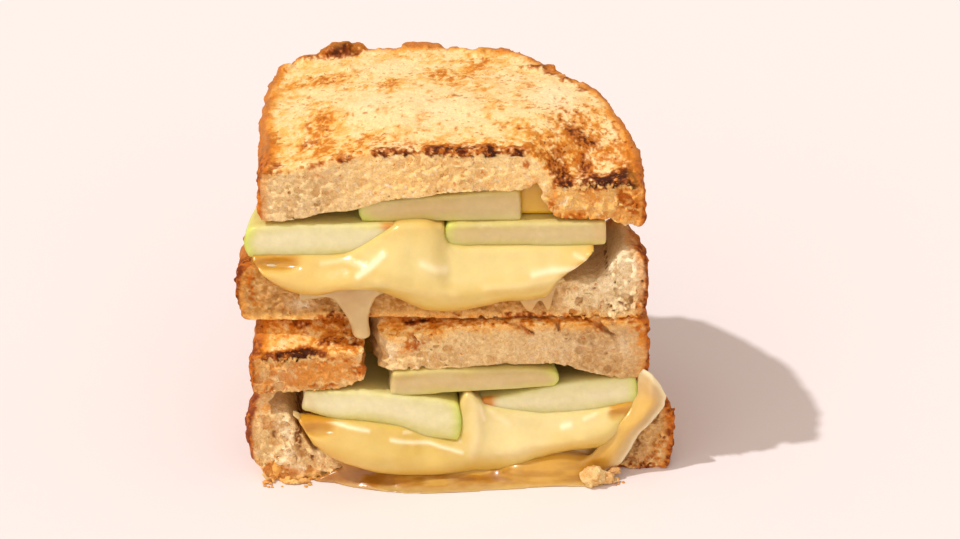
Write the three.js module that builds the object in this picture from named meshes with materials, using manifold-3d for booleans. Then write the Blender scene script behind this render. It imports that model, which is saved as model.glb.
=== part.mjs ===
// A grilled cheese and green apple sandwich, cut across the middle, its two halves stacked with both cut faces to the front.
// Millimetres, +Z up, +X along the cut from left to right, +Y away from the cut face. The origin is at the middle of the
// bounding box's underside, on the surface the sandwich stands on.
// Each half, from the bottom up: a bread slice, a thin white cheese sheet, a thick yellow cheese sheet, two apple slabs side by
// side, one apple slab across both, and a bread slice that bends over it.
import * as THREE from "three";
import { mergeVertices } from "three/addons/utils/BufferGeometryUtils.js";
import Module from "manifold-3d";

const wasm = await Module();
wasm.setup();

// ---------- driving dimensions ----------
const GAP = 0.35; // between pieces that touch
const DEPTH = 69.5; // half slice, from the cut to the far crust
const RIM = 3.2; // rounding of the crust's edges
const BOXY = 7, // outline exponent on the loaf's flat-bottomed side
  DOMED = 1.75; // and on its domed side
const UPPER = { turn: 0.5, y: 0.3 }; // degrees about +Z, and how far the cut face stands back
const LOWER = { turn: 4.2, y: -2.4 };
const LEVEL = 46.6; // height at which the upper half rests on the lower one

// Bread slices: left and right ends of the cut, depth, and which end is domed.
const U_TOP = { x0: -51.2, x1: 49.8, depth: DEPTH + 1.4, dome: "right", domed: 2.15, boxy: 9, dent: 6 };
const U_BASE = { x0: -57.8, x1: 51.0, depth: DEPTH - 2, dome: "right", boxy: 2.6 };
const L_TOP = { x0: -54.5, x1: 52.0, depth: DEPTH - 3.5, dome: "left" };
const L_BASE = { x0: -56.2, x1: 59.2, depth: DEPTH - 1.5, dome: "left", pinch: 6 };

// ---------- small maths ----------
const clamp = (t, a = 0, b = 1) => Math.min(b, Math.max(a, t));
const smooth = (t) => ((t = clamp(t)), t * t * (3 - 2 * t));
const mix = (a, b, t) => a + (b - a) * t;
const bell = (x, at, width) => Math.exp(-(((x - at) / width) ** 2));

// ---------- heights of the surfaces, in each half's own frame ----------
// Upper half: the top slice arches over the middle apple slab, and its right corner hangs where the crumb has torn.
const upTopLevel = (x, y) =>
  85.6 -
  8.8 * smooth((-10 - x) / 38) * (1 - 0.3 * smooth(y / 60)) -
  9.2 * smooth((x - 18) / (10 + 18 * smooth(y / 14))) * (1 - 0.86 * smooth(y / 40)) -
  2.2 * smooth((x - 40) / 5) * (1 - smooth(y / 30)) -
  9.5 * smooth((y - 22) / 46); // the slices close towards the crust
// The crumb hangs lower along the cut, most where it meets the tip of the middle apple slab.
const upTopLip = (x, y) =>
  (1.1 * (1 - smooth((x - 17) / 5)) -
    0.4 * smooth((-28 - x) / 9) +
    1.9 * smooth((-1 - x) / 10) * (1 - smooth((-25 - x) / 11))) *
  (1 - 0.75 * smooth((y - 2) / 8));
const upTopUnder = (x, y) => upTopLevel(x, y) - upTopLip(x, y);
const upTopOver = (x, y) =>
  upTopLevel(x, y) + 11.4 + 2.2 * smooth((x - 40) / 5) * (1 - smooth(y / 30)) + 3.4 * smooth((-8 - x) / 34) + 1.3 * smooth(y / 30) + 6.5 * smooth((y - 26) / 44);
const upBaseUnder = (x, y) => LEVEL + 0.5 - 0.6 * smooth((-x - 30) / 25);
const upBaseOver = (x, y) =>
  57.8 +
  4.6 * smooth((-x - 30) / 20) +
  8.9 * smooth((x - 37) / 8) +
  4.5 * smooth((y - 46) / 18);
// Lower half: the left corner of the top slice has broken and hangs forward over a tear.
const loTopUnder = (x, y) =>
  33.4 -
  5.4 * smooth((x - 24) / 24) * (1 - 0.3 * smooth(y / 60)) -
  5.6 * smooth((-15 - x) / 18) * (1 - 0.45 * smooth(y / 26)) -
  6.0 * smooth((y - 24) / 44);
const loTopOver = (x, y) =>
  LEVEL -
  0.3 -
  6.6 * smooth((-19 - x) / 6) * (1 - smooth(y / 17)) -
  2.6 * smooth((2 - x) / 16) * smooth((x + 22) / 4) * (1 - smooth(y / 10)) -
  1.0 * smooth((y - 50) / 18);
const loBaseOver = (x, y) =>
  8.6 +
  10.2 * smooth((x - 33) / 22) +
  13.0 * smooth((-x - 37) / 9) +
  5.0 * smooth((y - 46) / 16);

// ---------- plan outlines, as a radius at each angle from the middle of the cut ----------
function sliceOutline({ x0, x1, depth, dome, dent, boxy = BOXY, domed = DOMED, pinch = 0 }) {
  const middle = (x0 + x1) / 2,
    half = (x1 - x0) / 2;
  return {
    middle,
    half,
    depth,
    radius(angle) {
      const toLeft = smooth((angle / Math.PI - 0.38) / 0.32);
      const n =
        dome === "right" ? mix(domed, boxy, toLeft) : mix(boxy, domed, toLeft);
      const c = Math.abs(Math.cos(angle)) / half,
        s = Math.abs(Math.sin(angle)) / depth;
      let r = (c ** n + s ** n) ** (-1 / n);
      const ends = smooth(Math.sin(angle) * 3); // no ripple where the crust meets the cut
      r *= 1 + ends * (0.01 * Math.sin(5 * angle + 1) + 0.006 * Math.sin(11 * angle + x0));
      r -= pinch * smooth((angle - 0.05) / 0.35) * (1 - smooth((angle - 0.8) / 0.6)); // the crust draws in behind the cut
      if (dent !== undefined) {
        const at = Math.PI / 2 - (dent - middle) / depth;
        r -= 2 * bell(angle, at, 0.045) + 2.8 * smooth((at - angle) / 0.1) * smooth(angle / 0.9);
      }
      return r;
    },
  };
}

// A quarter-round apple slab: a straight side, and an arc of skin that starts at the cut and runs to the back.
function appleOutline({ x0, x1, depth, skin }) {
  const middle = (x0 + x1) / 2,
    width = x1 - x0;
  return {
    middle,
    half: width / 2,
    depth,
    radius(angle) {
      const c = skin === "left" ? Math.cos(angle) : -Math.cos(angle),
        s = Math.sin(angle);
      const straight = c > 1e-6 ? width / 2 / c : Infinity;
      // the arc is part of an ellipse about the slab's straight side
      const a = (c / width) ** 2 + (s / depth) ** 2,
        b = (-2 * c * (width / 2)) / width ** 2,
        k = 0.25 - 1;
      const arc = (-b + Math.sqrt(b * b - 4 * a * k)) / (2 * a);
      return Math.min(straight, arc);
    },
  };
}

// ---------- geometry makers ----------
// A box bent into a layer: its plan follows an outline, its faces follow two heights, and its edge is rounded by rim.
// With grow, every side stands out by that much, to cut a neighbour back by the gap; run is how far it passes the cut face.
function layer(outline, under, over, { nx, ny, nz, rim = 0, front = null, grow = 0, run = grow }) {
  const g = new THREE.BoxGeometry(2, 1, 1, nx, ny, nz);
  const p = g.attributes.position;
  for (let i = 0; i < p.count; i++) {
    const u = p.getX(i),
      v = p.getY(i) + 0.5,
      w = p.getZ(i) + 0.5;
    const share = Math.max(Math.abs(u), v);
    const angle = Math.atan2(v * outline.depth, u * outline.half);
    const inset = rim * (1 - Math.sqrt(Math.max(0, 1 - (2 * w - 1) ** 2)));
    const r = share > 1e-9 ? share * (outline.radius(angle) - inset + grow) : 0;
    const x = outline.middle + r * Math.cos(angle);
    let y = share > 1e-9 ? r * Math.sin(angle) : 0;
    const z = mix(under(x, y) - grow, over(x, y) + grow, w);
    if (front) y += front(x, z) * (1 - smooth(v / 0.35));
    if (v < 1e-6) y -= run;
    p.setXYZ(i, x, y, z);
  }
  g.computeVertexNormals();
  return g;
}

// A curtain of melted cheese in front of the cut: x runs along it, its lower edge is low(x), its upper edge high(x), it is
// thick(x) thick at its edges and bulges forward by out(x) in its middle. It starts at the cut plane.
function curtain({ x0, x1, low, high, thick, out, nx = 24, nz = 5 }, grow = 0) {
  const g = new THREE.BoxGeometry(1, 1, 1, nx, 1, nz);
  const p = g.attributes.position;
  for (let i = 0; i < p.count; i++) {
    const u = p.getX(i) + 0.5,
      v = p.getY(i) + 0.5,
      w = p.getZ(i) + 0.5;
    const at = mix(x0, x1, u);
    const x = mix(x0 - grow, x1 + grow, u);
    const z = mix(low(at) - grow, high(at) + grow, w);
    const round = Math.sin(Math.PI * clamp(0.1 + 0.8 * w)) ** 0.7;
    const y = v > 0.5 ? grow : -thick(at) - out(at) * round - grow;
    p.setXYZ(i, x, y, z);
  }
  g.computeVertexNormals();
  return g;
}

function solid(geometry) {
  const g = geometry.clone();
  g.deleteAttribute("normal");
  g.deleteAttribute("uv");
  const m = mergeVertices(g, 1e-4);
  return new wasm.Manifold(
    new wasm.Mesh({
      numProp: 3,
      vertProperties: m.attributes.position.array,
      triVerts: new Uint32Array(m.index.array),
    }),
  );
}

function geometryOf(manifold) {
  const m = manifold.getMesh();
  const g = new THREE.BufferGeometry();
  const v = new Float32Array(m.numVert * 3);
  for (let i = 0; i < m.numVert; i++)
    v.set(m.vertProperties.subarray(i * m.numProp, i * m.numProp + 3), i * 3);
  g.setAttribute("position", new THREE.BufferAttribute(v, 3));
  g.setIndex(new THREE.BufferAttribute(m.triVerts, 1));
  const flat = g.toNonIndexed();
  flat.computeVertexNormals();
  return flat;
}

// The largest body left by a cut, without loose crumbs.
function mainBody(manifold) {
  return manifold
    .decompose()
    .reduce((a, b) => (b.volume() > a.volume() ? b : a))
    .simplify(0.04);
}

// A jagged wedge that tears a slice from its cut face: wide at the front, closing towards the back.
function tear({ x, lean, wide, deep, low, high, taper }) {
  const steps = 6,
    jag = 0.9;
  const g = new THREE.BoxGeometry(1, 1, 1, 1, steps, 4);
  const p = g.attributes.position;
  for (let i = 0; i < p.count; i++) {
    const side = Math.sign(p.getX(i)),
      v = p.getY(i) + 0.5,
      w = p.getZ(i) + 0.5;
    const open = mix(wide, 0.8, v ** 0.8) * mix(1, taper, w);
    const rough = jag * Math.sin(7.3 * v * steps + 2.1 * side + 5 * w) * (1 - v);
    p.setXYZ(
      i,
      x + lean * v + side * (open / 2) + rough * 0.6,
      mix(-4, deep, v),
      mix(low, high, w),
    );
  }
  g.computeVertexNormals();
  return g;
}

const finish = {
  toast: new THREE.MeshStandardMaterial({ color: 0xe2b06a, roughness: 0.85, metalness: 0 }),
  apple: new THREE.MeshStandardMaterial({ color: 0xe6e3b4, roughness: 0.4, metalness: 0 }),
  yellow: new THREE.MeshStandardMaterial({ color: 0xf0cf74, roughness: 0.3, metalness: 0 }),
  white: new THREE.MeshStandardMaterial({ color: 0xe6d5ac, roughness: 0.3, metalness: 0 }),
};

function piece(name, geometry, material) {
  const m = new THREE.Mesh(geometry, material);
  m.name = name;
  return m;
}

// ---------- apple ----------
// Each slab is a wedge: its underside and its top run in straight lines from its left end to its right end.
function apple(spec, grow = 0) {
  const { x0, x1, under, over, turn = 0, out = 0, rise = 0 } = spec;
  const line = (pair) => (x, y) =>
    mix(pair[0], pair[1], clamp((x - x0) / (x1 - x0))) + rise * (y / spec.depth);
  const g = layer(appleOutline(spec), line(under), line(over), { nx: 8, ny: 5, nz: 2, rim: 0.7, grow, run: (spec.run ?? 8) * grow });
  const pivot = turn > 0 ? x0 : x1;
  g.translate(-pivot, 0, 0);
  g.rotateZ((turn * Math.PI) / 180);
  g.translate(pivot, -out, 0);
  return g;
}
const U_APPLE_LEFT = { x0: -55.4, x1: -14.8, under: [65.4, 66.0], over: [74.0, 74.9], depth: 50, skin: "left", out: 0.4 };
const U_APPLE_RIGHT = { x0: -3.0, x1: 39.6, under: [67.0, 67.2], over: [75.1, 75.6], depth: 52, skin: "left" };
const U_APPLE_MIDDLE = { x0: -25.4, x1: 17.2, under: [76.0, 76.4], over: [81.2, 84.2], depth: 44, skin: "left", out: -1.5, run: 1 };
const L_APPLE_LEFT = { x0: -41.0, x1: 1.8, under: [18.6, 12.4], over: [26.6, 23.4], depth: 50, skin: "right", turn: -4, out: 2.4 };
const L_APPLE_RIGHT = { x0: 5.6, x1: 49.6, under: [15.2, 19.0], over: [23.3, 27.0], depth: 50, skin: "right", out: 0.2 };
const L_APPLE_MIDDLE = { x0: -17.2, x1: 28.0, under: [25.6, 26.9], over: [33.0, 31.5], depth: 44, skin: "right", out: 0.8 };
const cutter = (spec) => solid(apple(spec, GAP));

// ---------- bread ----------
const SLICE = { nx: 20, ny: 7, nz: 4, rim: RIM };
const cutRipple = (phase) => (x, z) =>
  0.45 * Math.sin(x / 6.5 + phase) + 0.3 * Math.sin(z / 2.7 + x / 11);
const U_BASE_SHAPE = [sliceOutline(U_BASE), upBaseUnder, upBaseOver, { ...SLICE, front: cutRipple(2.2) }];
const L_BASE_SHAPE = [sliceOutline(L_BASE), () => 0, loBaseOver, { ...SLICE, front: cutRipple(3.0) }];
const grown = ([outline, under, over, how]) =>
  solid(layer(outline, under, over, { ...how, grow: GAP }));

const upTop = geometryOf(
  mainBody(
    solid(layer(sliceOutline(U_TOP), upTopUnder, upTopOver, { ...SLICE, front: cutRipple(0.4) }))
      .subtract(solid(tear({ x: 20.6, lean: 1.5, wide: 9.0, deep: 16, low: 70, high: 91.0, taper: 0.1 })))
      .subtract(cutter(U_APPLE_MIDDLE)),
  ),
);
const upBase = layer(...U_BASE_SHAPE);
const loTop = geometryOf(
  mainBody(
    solid(layer(sliceOutline(L_TOP), loTopUnder, loTopOver, { ...SLICE, front: cutRipple(1.1) }))
      .subtract(solid(tear({ x: -21.8, lean: -2.5, wide: 7.4, deep: 23, low: 20, high: 60, taper: 1.0 })))
      .subtract(cutter(L_APPLE_MIDDLE)),
  ),
);
const loBase = layer(...L_BASE_SHAPE);

// ---------- cheese ----------
// Melted lobes that hang from a sheet's front edge: where each hangs, how far it drops and how wide it is.
const hang = (level, lobes) => (x) =>
  lobes.reduce((z, [at, drop, width]) => z - drop * bell(x, at, width), level);
const inside = (slice, inset, x0, x1) =>
  sliceOutline({ ...slice, x0, x1, depth: slice.depth - inset, dent: undefined });
const SHEET = { nx: 12, ny: 5, nz: 1 };
const W = 1.2; // thickness of the white cheese sheet

// Upper white sheet, with one long drip.
const upWhiteSheet = [
  inside(U_BASE, 5, -49.0, 37.0),
  (x, y) => upBaseOver(x, y) - 1,
  (x, y) => upBaseOver(x, y) + GAP + W,
  { ...SHEET, front: () => -1.2 },
];
const upDrip = {
  x0: -41.0, x1: -21.6, nx: 12, nz: 4,
  low: hang(53.6, [[-25.6, 11.2, 3.0], [-33, 1.6, 4]]),
  high: (x) => upBaseOver(x, 0) + GAP + W,
  thick: () => 1.9,
  out: () => 0.3,
};
const upWhite = geometryOf(
  mainBody(
    solid(layer(...upWhiteSheet)).add(solid(curtain(upDrip))).subtract(grown(U_BASE_SHAPE)),
  ),
);

// Upper yellow sheet, its curtain, and its ridge between the two lower apple slabs.
const upSheet = layer(
  inside(U_BASE, 6, -53.2, 37.4),
  (x, y) => Math.min(upBaseOver(x, y) + W + 2 * GAP, 65.2),
  (x, y) => mix(66.4, 68.0, smooth((x + 15) / 10)) + 4.5 * smooth((y - 38) / 10), // fills behind the apple
  { ...SHEET, front: () => -2.4 },
);
const upCurtain = {
  x0: -53.2, x1: 37.2, nx: 24,
  low: (x) =>
    mix(
      hang(56, [[-40, 1.4, 7], [-2, 5.4, 12], [18, 2.4, 9]])(x),
      64.6,
      smooth((Math.abs(x + 8.8) - 33.5) / 11),
    ),
  high: (x) => 66.4 + 8.4 * bell(x, -8.4, 7.5) + 1.4 * smooth((x - 5) / 10),
  thick: () => 2.9,
  out: (x) => 2.2 * (1 - smooth((Math.abs(x + 7.3) - 30) / 15)) + 1.2 * bell(x, 4, 14),
};
const upRidge = new THREE.BoxGeometry(16, 42, 10.4).translate(-9.0, 20.2, 70.4);
const upYellow = geometryOf(
  mainBody(
    solid(upSheet).add(solid(curtain(upCurtain))).add(solid(upRidge))
      .subtract(solid(layer(...upWhiteSheet.slice(0, 3), { ...upWhiteSheet[3], grow: GAP })))
      .subtract(solid(curtain(upDrip, GAP)))
      .subtract(grown(U_BASE_SHAPE))
      .subtract(cutter(U_APPLE_LEFT))
      .subtract(cutter(U_APPLE_RIGHT))
      .subtract(cutter(U_APPLE_MIDDLE)),
  ),
);

// Lower white sheet, with a thin skirt that hangs to the floor in front and a fold at the right end.
const loWhiteSheet = [
  inside(L_BASE, 5, -36.0, 54.0),
  (x, y) => loBaseOver(x, y) - 1,
  (x, y) => loBaseOver(x, y) + GAP + W,
  { ...SHEET, front: () => -1.2 },
];
const loSkirt = {
  x0: -30.0, x1: 54.0, nx: 18, nz: 3,
  low: (x) => 0.3 + 12.5 * smooth((x - 40) / 12) + 3.5 * smooth((-18 - x) / 12),
  high: (x) => loBaseOver(x, 0) + GAP + W,
  thick: () => 1.8,
  out: () => 0.4,
};
const FILM = { x0: -31, x1: 43, front: 9.5, thick: 1.0 }; // where it spreads on the floor
const filmEdge = (x) => {
  const t = clamp((x - FILM.x0) / (FILM.x1 - FILM.x0));
  return FILM.front * Math.sin(Math.PI * t) ** 0.45 + 0.8 * Math.sin(x / 3.7) * Math.sin(Math.PI * t);
};
const film = new THREE.BoxGeometry(1, 1, FILM.thick, 20, 1, 1);
for (let i = 0, p = film.attributes.position; i < p.count; i++) {
  const x = mix(FILM.x0, FILM.x1, p.getX(i) + 0.5);
  const front = p.getY(i) < 0;
  p.setXYZ(
    i,
    x,
    front ? -0.9 - filmEdge(x) : -0.2,
    p.getZ(i) < 0 ? 0 : front ? 0.5 : FILM.thick + 0.3,
  );
}
const loWhite = geometryOf(
  mainBody(
    solid(layer(...loWhiteSheet)).add(solid(curtain(loSkirt))).add(solid(film)).subtract(grown(L_BASE_SHAPE)),
  ),
);

// Lower yellow sheet and curtain, which reaches almost to the floor.
const loLeftTop = (x) => mix(19.6, 13.4, clamp((x + 41.0) / 42.8));
const loRightTop = (x) => 16.2 + 3.8 * clamp((x - 5.6) / 44);
const loSheet = layer(
  inside(L_BASE, 6, -38.5, 49.5),
  (x, y) => loBaseOver(x, y) + W + 2 * GAP,
  (x, y) => Math.max(
    loBaseOver(x, y) + W + 2 * GAP + 0.8,
    (x < 3.5 ? loLeftTop(x) : loRightTop(x)) + 4.5 * smooth((y - 38) / 10),
  ),
  { ...SHEET, nx: 14, front: () => -2.4 },
);
const loCurtain = {
  x0: -38.0, x1: 49.2, nx: 26,
  low: (x) =>
    Math.max(
      FILM.thick + 0.3 + GAP,
      mix(
        hang(11.5, [[-18, 8.6, 15], [3, 8.4, 12], [20, 4.5, 10]])(x),
        17,
        smooth((Math.abs(x - 5.6) - 30) / 13.6),
      ),
    ),
  high: (x) => mix(loLeftTop(x), loRightTop(x), smooth((x - 3.5) / 3)),
  thick: () => 2.9,
  out: (x) => 2.4 * (1 - smooth((Math.abs(x - 5.6) - 26) / 17)),
};
const loRidge = new THREE.BoxGeometry(9, 40, 9).translate(5.5, 19, 17.5);
const loYellow = geometryOf(
  mainBody(
    solid(loSheet).add(solid(curtain(loCurtain))).add(solid(loRidge))
      .subtract(solid(layer(...loWhiteSheet.slice(0, 3), { ...loWhiteSheet[3], grow: GAP })))
      .subtract(solid(curtain(loSkirt, GAP)))
      .subtract(grown(L_BASE_SHAPE))
      .subtract(cutter(L_APPLE_LEFT))
      .subtract(cutter(L_APPLE_RIGHT))
      .subtract(cutter(L_APPLE_MIDDLE)),
  ),
);

// ---------- assembly ----------
const half = (name, { turn, y }, pieces) => {
  const g = new THREE.Group();
  g.name = name;
  g.rotation.z = (turn * Math.PI) / 180;
  g.position.y = y;
  g.add(...pieces);
  return g;
};
const sandwich = new THREE.Group();
sandwich.name = "sandwich";
sandwich.add(
  half("upper_half", UPPER, [
    piece("upper_top_bread", upTop, finish.toast),
    piece("upper_apple_middle", apple(U_APPLE_MIDDLE), finish.apple),
    piece("upper_apple_left", apple(U_APPLE_LEFT), finish.apple),
    piece("upper_apple_right", apple(U_APPLE_RIGHT), finish.apple),
    piece("upper_yellow_cheese", upYellow, finish.yellow),
    piece("upper_white_cheese", upWhite, finish.white),
    piece("upper_base_bread", upBase, finish.toast),
  ]),
  half("lower_half", LOWER, [
    piece("lower_top_bread", loTop, finish.toast),
    piece("lower_apple_middle", apple(L_APPLE_MIDDLE), finish.apple),
    piece("lower_apple_left", apple(L_APPLE_LEFT), finish.apple),
    piece("lower_apple_right", apple(L_APPLE_RIGHT), finish.apple),
    piece("lower_yellow_cheese", loYellow, finish.yellow),
    piece("lower_white_cheese", loWhite, finish.white),
    piece("lower_base_bread", loBase, finish.toast),
  ]),
);

// The origin goes to the middle of the bounding box's underside.
sandwich.updateMatrixWorld(true);
const box = new THREE.Box3().setFromObject(sandwich, true);
sandwich.position.set(
  -(box.min.x + box.max.x) / 2,
  -(box.min.y + box.max.y) / 2,
  -box.min.z,
);

export default sandwich;
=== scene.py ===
# Looks for the stacked grilled cheese and green apple sandwich: every CAD node is replaced by a detailed mesh of the same
# size in the same place. Shapes are distance fields on a grid, in millimetres in each half's own frame, skinned with
# surface nets. Colours are worked out at each vertex from where it lies in the food, and the shaders add finer grain.
import math

import bpy
import numpy as np
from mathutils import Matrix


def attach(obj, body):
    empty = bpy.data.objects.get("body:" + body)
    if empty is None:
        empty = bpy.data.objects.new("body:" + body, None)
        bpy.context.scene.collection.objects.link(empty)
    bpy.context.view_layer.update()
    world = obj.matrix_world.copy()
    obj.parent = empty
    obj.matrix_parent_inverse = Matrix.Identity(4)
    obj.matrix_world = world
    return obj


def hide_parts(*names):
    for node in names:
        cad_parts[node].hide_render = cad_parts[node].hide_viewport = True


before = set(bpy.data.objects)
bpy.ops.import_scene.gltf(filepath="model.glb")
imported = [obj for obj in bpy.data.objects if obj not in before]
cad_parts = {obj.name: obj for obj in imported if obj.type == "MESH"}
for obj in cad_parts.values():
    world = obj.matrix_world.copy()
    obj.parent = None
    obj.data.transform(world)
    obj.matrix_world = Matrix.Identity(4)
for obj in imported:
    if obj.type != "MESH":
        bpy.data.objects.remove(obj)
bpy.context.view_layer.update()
RES = 0.452  # grid step at the cut faces, mm

# ---------- the part's frame ----------
SHIFT = np.array([-0.623, -29.084, 0.0])  # from the construction's origin to the part's, mm
HALVES = {"upper": (0.5, 0.3), "lower": (4.2, -2.4)}  # turn in degrees about +Z, and how far the cut face stands back
DEPTH = 69.5
RIM = 3.2
BOXY, DOMED = 7.0, 1.75
LEVEL = 46.6


def to_row(p, half):
    turn, back = HALVES[half]
    c, s = math.cos(math.radians(turn)), math.sin(math.radians(turn))
    out = np.empty_like(p, dtype=np.float64)
    out[:, 0] = p[:, 0] * c - p[:, 1] * s
    out[:, 1] = p[:, 0] * s + p[:, 1] * c + back
    out[:, 2] = p[:, 2]
    return (out + SHIFT) * 0.001


# ---------- small maths ----------
def sm(t):
    t = np.clip(t, 0.0, 1.0)
    return t * t * (3 - 2 * t)


def mix(a, b, t):
    return a + (b - a) * t


def bell(x, at, width):
    return np.exp(-(((x - at) / width) ** 2))


def smax(a, b, k):
    h = np.clip(0.5 + 0.5 * (a - b) / k, 0.0, 1.0)
    return b + (a - b) * h + k * h * (1 - h)


def smin(a, b, k):
    return -smax(-a, -b, k)


# ---------- value noise that is the same on a grid and at single points ----------
def _hash(i, j, k, seed):
    i, j, k = (np.asarray(v, np.int64).astype(np.uint64) for v in (i, j, k))
    n = (i * np.uint64(73856093)) ^ (j * np.uint64(19349663)) ^ (k * np.uint64(83492791)) ^ np.uint64(seed * 2654435761 + 97)
    n &= np.uint64(0xFFFFFFFF)
    n = ((n ^ (n >> np.uint64(15))) * np.uint64(2246822519)) & np.uint64(0xFFFFFFFF)
    n = ((n ^ (n >> np.uint64(13))) * np.uint64(3266489917)) & np.uint64(0xFFFFFFFF)
    n ^= n >> np.uint64(16)
    return (n.astype(np.float64) / 2147483648.0 - 1.0).astype(np.float32)


def _three(size):
    return size if isinstance(size, (tuple, list)) else (size, size, size)


def _fade(t):
    return t * t * t * (t * (6 * t - 15) + 10)


def grid_noise(axes, size, seed):
    """Noise over a rectilinear grid, from -1 to 1, with cells of that size in mm."""
    mats, lows, counts = [], [], []
    for a, s in zip(axes, _three(size)):
        q = np.asarray(a, np.float64) / s + 1000.5
        base = np.floor(q).astype(np.int64)
        f = _fade(q - base)
        low, high = base.min(), base.max() + 1
        m = np.zeros((len(a), high - low + 1), np.float32)
        r = np.arange(len(a))
        m[r, base - low] = 1 - f
        m[r, base - low + 1] += f
        mats.append(m)
        lows.append(low)
        counts.append(high - low + 1)
    i, j, k = np.meshgrid(*[np.arange(l, l + c) for l, c in zip(lows, counts)], indexing="ij")
    values = _hash(i, j, k, seed)
    out = np.tensordot(mats[0], values, (1, 0))
    out = np.einsum("yj,xjk->xyk", mats[1], out, optimize=True)
    return np.einsum("zk,xyk->xyz", mats[2], out, optimize=True)


def flat_noise(axes, size, seed):
    """The same over the first two axes only, for a height."""
    return grid_noise([axes[0], axes[1], np.array([0.0])], size, seed)[:, :, 0]


def point_noise(p, size, seed):
    s = np.array(_three(size), np.float64)
    q = p / s + 1000.5
    b = np.floor(q).astype(np.int64)
    f = _fade(q - b)
    total = 0
    for dx in (0, 1):
        wx = f[:, 0] if dx else 1 - f[:, 0]
        for dy in (0, 1):
            wy = f[:, 1] if dy else 1 - f[:, 1]
            for dz in (0, 1):
                wz = f[:, 2] if dz else 1 - f[:, 2]
                total = total + wx * wy * wz * _hash(b[:, 0] + dx, b[:, 1] + dy, b[:, 2] + dz, seed)
    return total


def point_fbm(p, size, seed, octaves=3, gain=0.55):
    total, amp, norm = 0, 1.0, 0.0
    s = np.array(_three(size), np.float64)
    for o in range(octaves):
        total = total + amp * point_noise(p + 3.7 * o, tuple(s), seed + 17 * o)
        norm += amp
        amp *= gain
        s = s * 0.47
    return total / norm


# ---------- skin a distance field ----------
CORNERS = [(0, 0, 0), (1, 0, 0), (0, 1, 0), (1, 1, 0), (0, 0, 1), (1, 0, 1), (0, 1, 1), (1, 1, 1)]
EDGES = [(a, b) for a in range(8) for b in range(a + 1, 8) if sum(abs(CORNERS[a][n] - CORNERS[b][n]) for n in range(3)) == 1]


def skin(field, axes, keep_over=60):
    """Surface nets: vertices in mm and quads facing out. Loose bits with few vertices are dropped."""
    field = field.astype(np.float32)
    for n in range(3):  # close the field at the grid's ends
        idx = [slice(None)] * 3
        for end in (0, -1):
            idx[n] = end
            field[tuple(idx)] = np.maximum(field[tuple(idx)], 0.05)
    inside = field < 0
    count = np.zeros(tuple(s - 1 for s in field.shape), np.int8)
    for c in CORNERS:
        count += inside[c[0]:inside.shape[0] - 1 + c[0], c[1]:inside.shape[1] - 1 + c[1], c[2]:inside.shape[2] - 1 + c[2]]
    active = (count > 0) & (count < 8)
    cell = np.argwhere(active)
    index = np.full(active.shape, -1, np.int32)
    index[active] = np.arange(len(cell))
    corner = [field[cell[:, 0] + c[0], cell[:, 1] + c[1], cell[:, 2] + c[2]] for c in CORNERS]
    total = np.zeros((len(cell), 3))
    hits = np.zeros(len(cell))
    for a, b in EDGES:
        fa, fb = corner[a], corner[b]
        m = (fa < 0) != (fb < 0)
        t = np.where(m, fa / np.where(m, fa - fb, 1), 0)
        for n in range(3):
            total[:, n] += m * (CORNERS[a][n] + t * (CORNERS[b][n] - CORNERS[a][n]))
        hits += m
    frac = total / hits[:, None]
    verts = np.empty((len(cell), 3))
    for n in range(3):
        a = np.asarray(axes[n], np.float64)
        verts[:, n] = a[cell[:, n]] + frac[:, n] * (a[cell[:, n] + 1] - a[cell[:, n]])
    quads = []
    for n in range(3):
        u, v = (n + 1) % 3, (n + 2) % 3
        lo = [slice(None)] * 3
        hi = [slice(None)] * 3
        lo[n], hi[n] = slice(None, -1), slice(1, None)
        change = inside[tuple(lo)] != inside[tuple(hi)]
        e = np.argwhere(change)
        e = e[(e[:, u] > 0) & (e[:, v] > 0) & (e[:, u] < field.shape[u] - 1) & (e[:, v] < field.shape[v] - 1)]
        out = inside[tuple(lo)][e[:, 0], e[:, 1], e[:, 2]]  # material on the low side: the face looks along +n
        ring = []
        for du, dv in ((-1, -1), (0, -1), (0, 0), (-1, 0)):
            c = e.copy()
            c[:, u] += du
            c[:, v] += dv
            ring.append(index[c[:, 0], c[:, 1], c[:, 2]])
        q = np.stack(ring, 1)
        q[~out] = q[~out][:, ::-1]
        quads.append(q)
    quads = np.concatenate(quads)
    quads = quads[(quads >= 0).all(1)]
    # connected pieces, by passing the lowest label along the edges
    label = np.arange(len(verts))
    pairs = np.concatenate([quads[:, [0, 1]], quads[:, [1, 2]], quads[:, [2, 3]], quads[:, [3, 0]]])
    for _ in range(400):
        low = np.minimum(label[pairs[:, 0]], label[pairs[:, 1]])
        new = label.copy()
        np.minimum.at(new, pairs[:, 0], low)
        np.minimum.at(new, pairs[:, 1], low)
        new = new[new]
        new = new[new]
        if (new == label).all():
            break
        label = new
    size = np.bincount(label, minlength=len(verts))
    keep_vert = size[label] >= keep_over
    quads = quads[keep_vert[quads].all(1)]
    used = np.unique(quads)
    renumber = np.full(len(verts), -1)
    renumber[used] = np.arange(len(used))
    return verts[used], renumber[quads]


def relax(verts, quads, times=1, share=0.5):
    """Evens out the stair steps of the grid."""
    pairs = np.concatenate([quads[:, [0, 1]], quads[:, [1, 2]], quads[:, [2, 3]], quads[:, [3, 0]]])
    a = np.concatenate([pairs[:, 0], pairs[:, 1]])
    b = np.concatenate([pairs[:, 1], pairs[:, 0]])
    n = np.bincount(a, minlength=len(verts)).astype(float)
    for _ in range(times):
        mean = np.stack([np.bincount(a, weights=verts[b, k], minlength=len(verts)) for k in range(3)], 1) / n[:, None]
        verts = verts + share * (mean - verts)
    return verts


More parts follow.
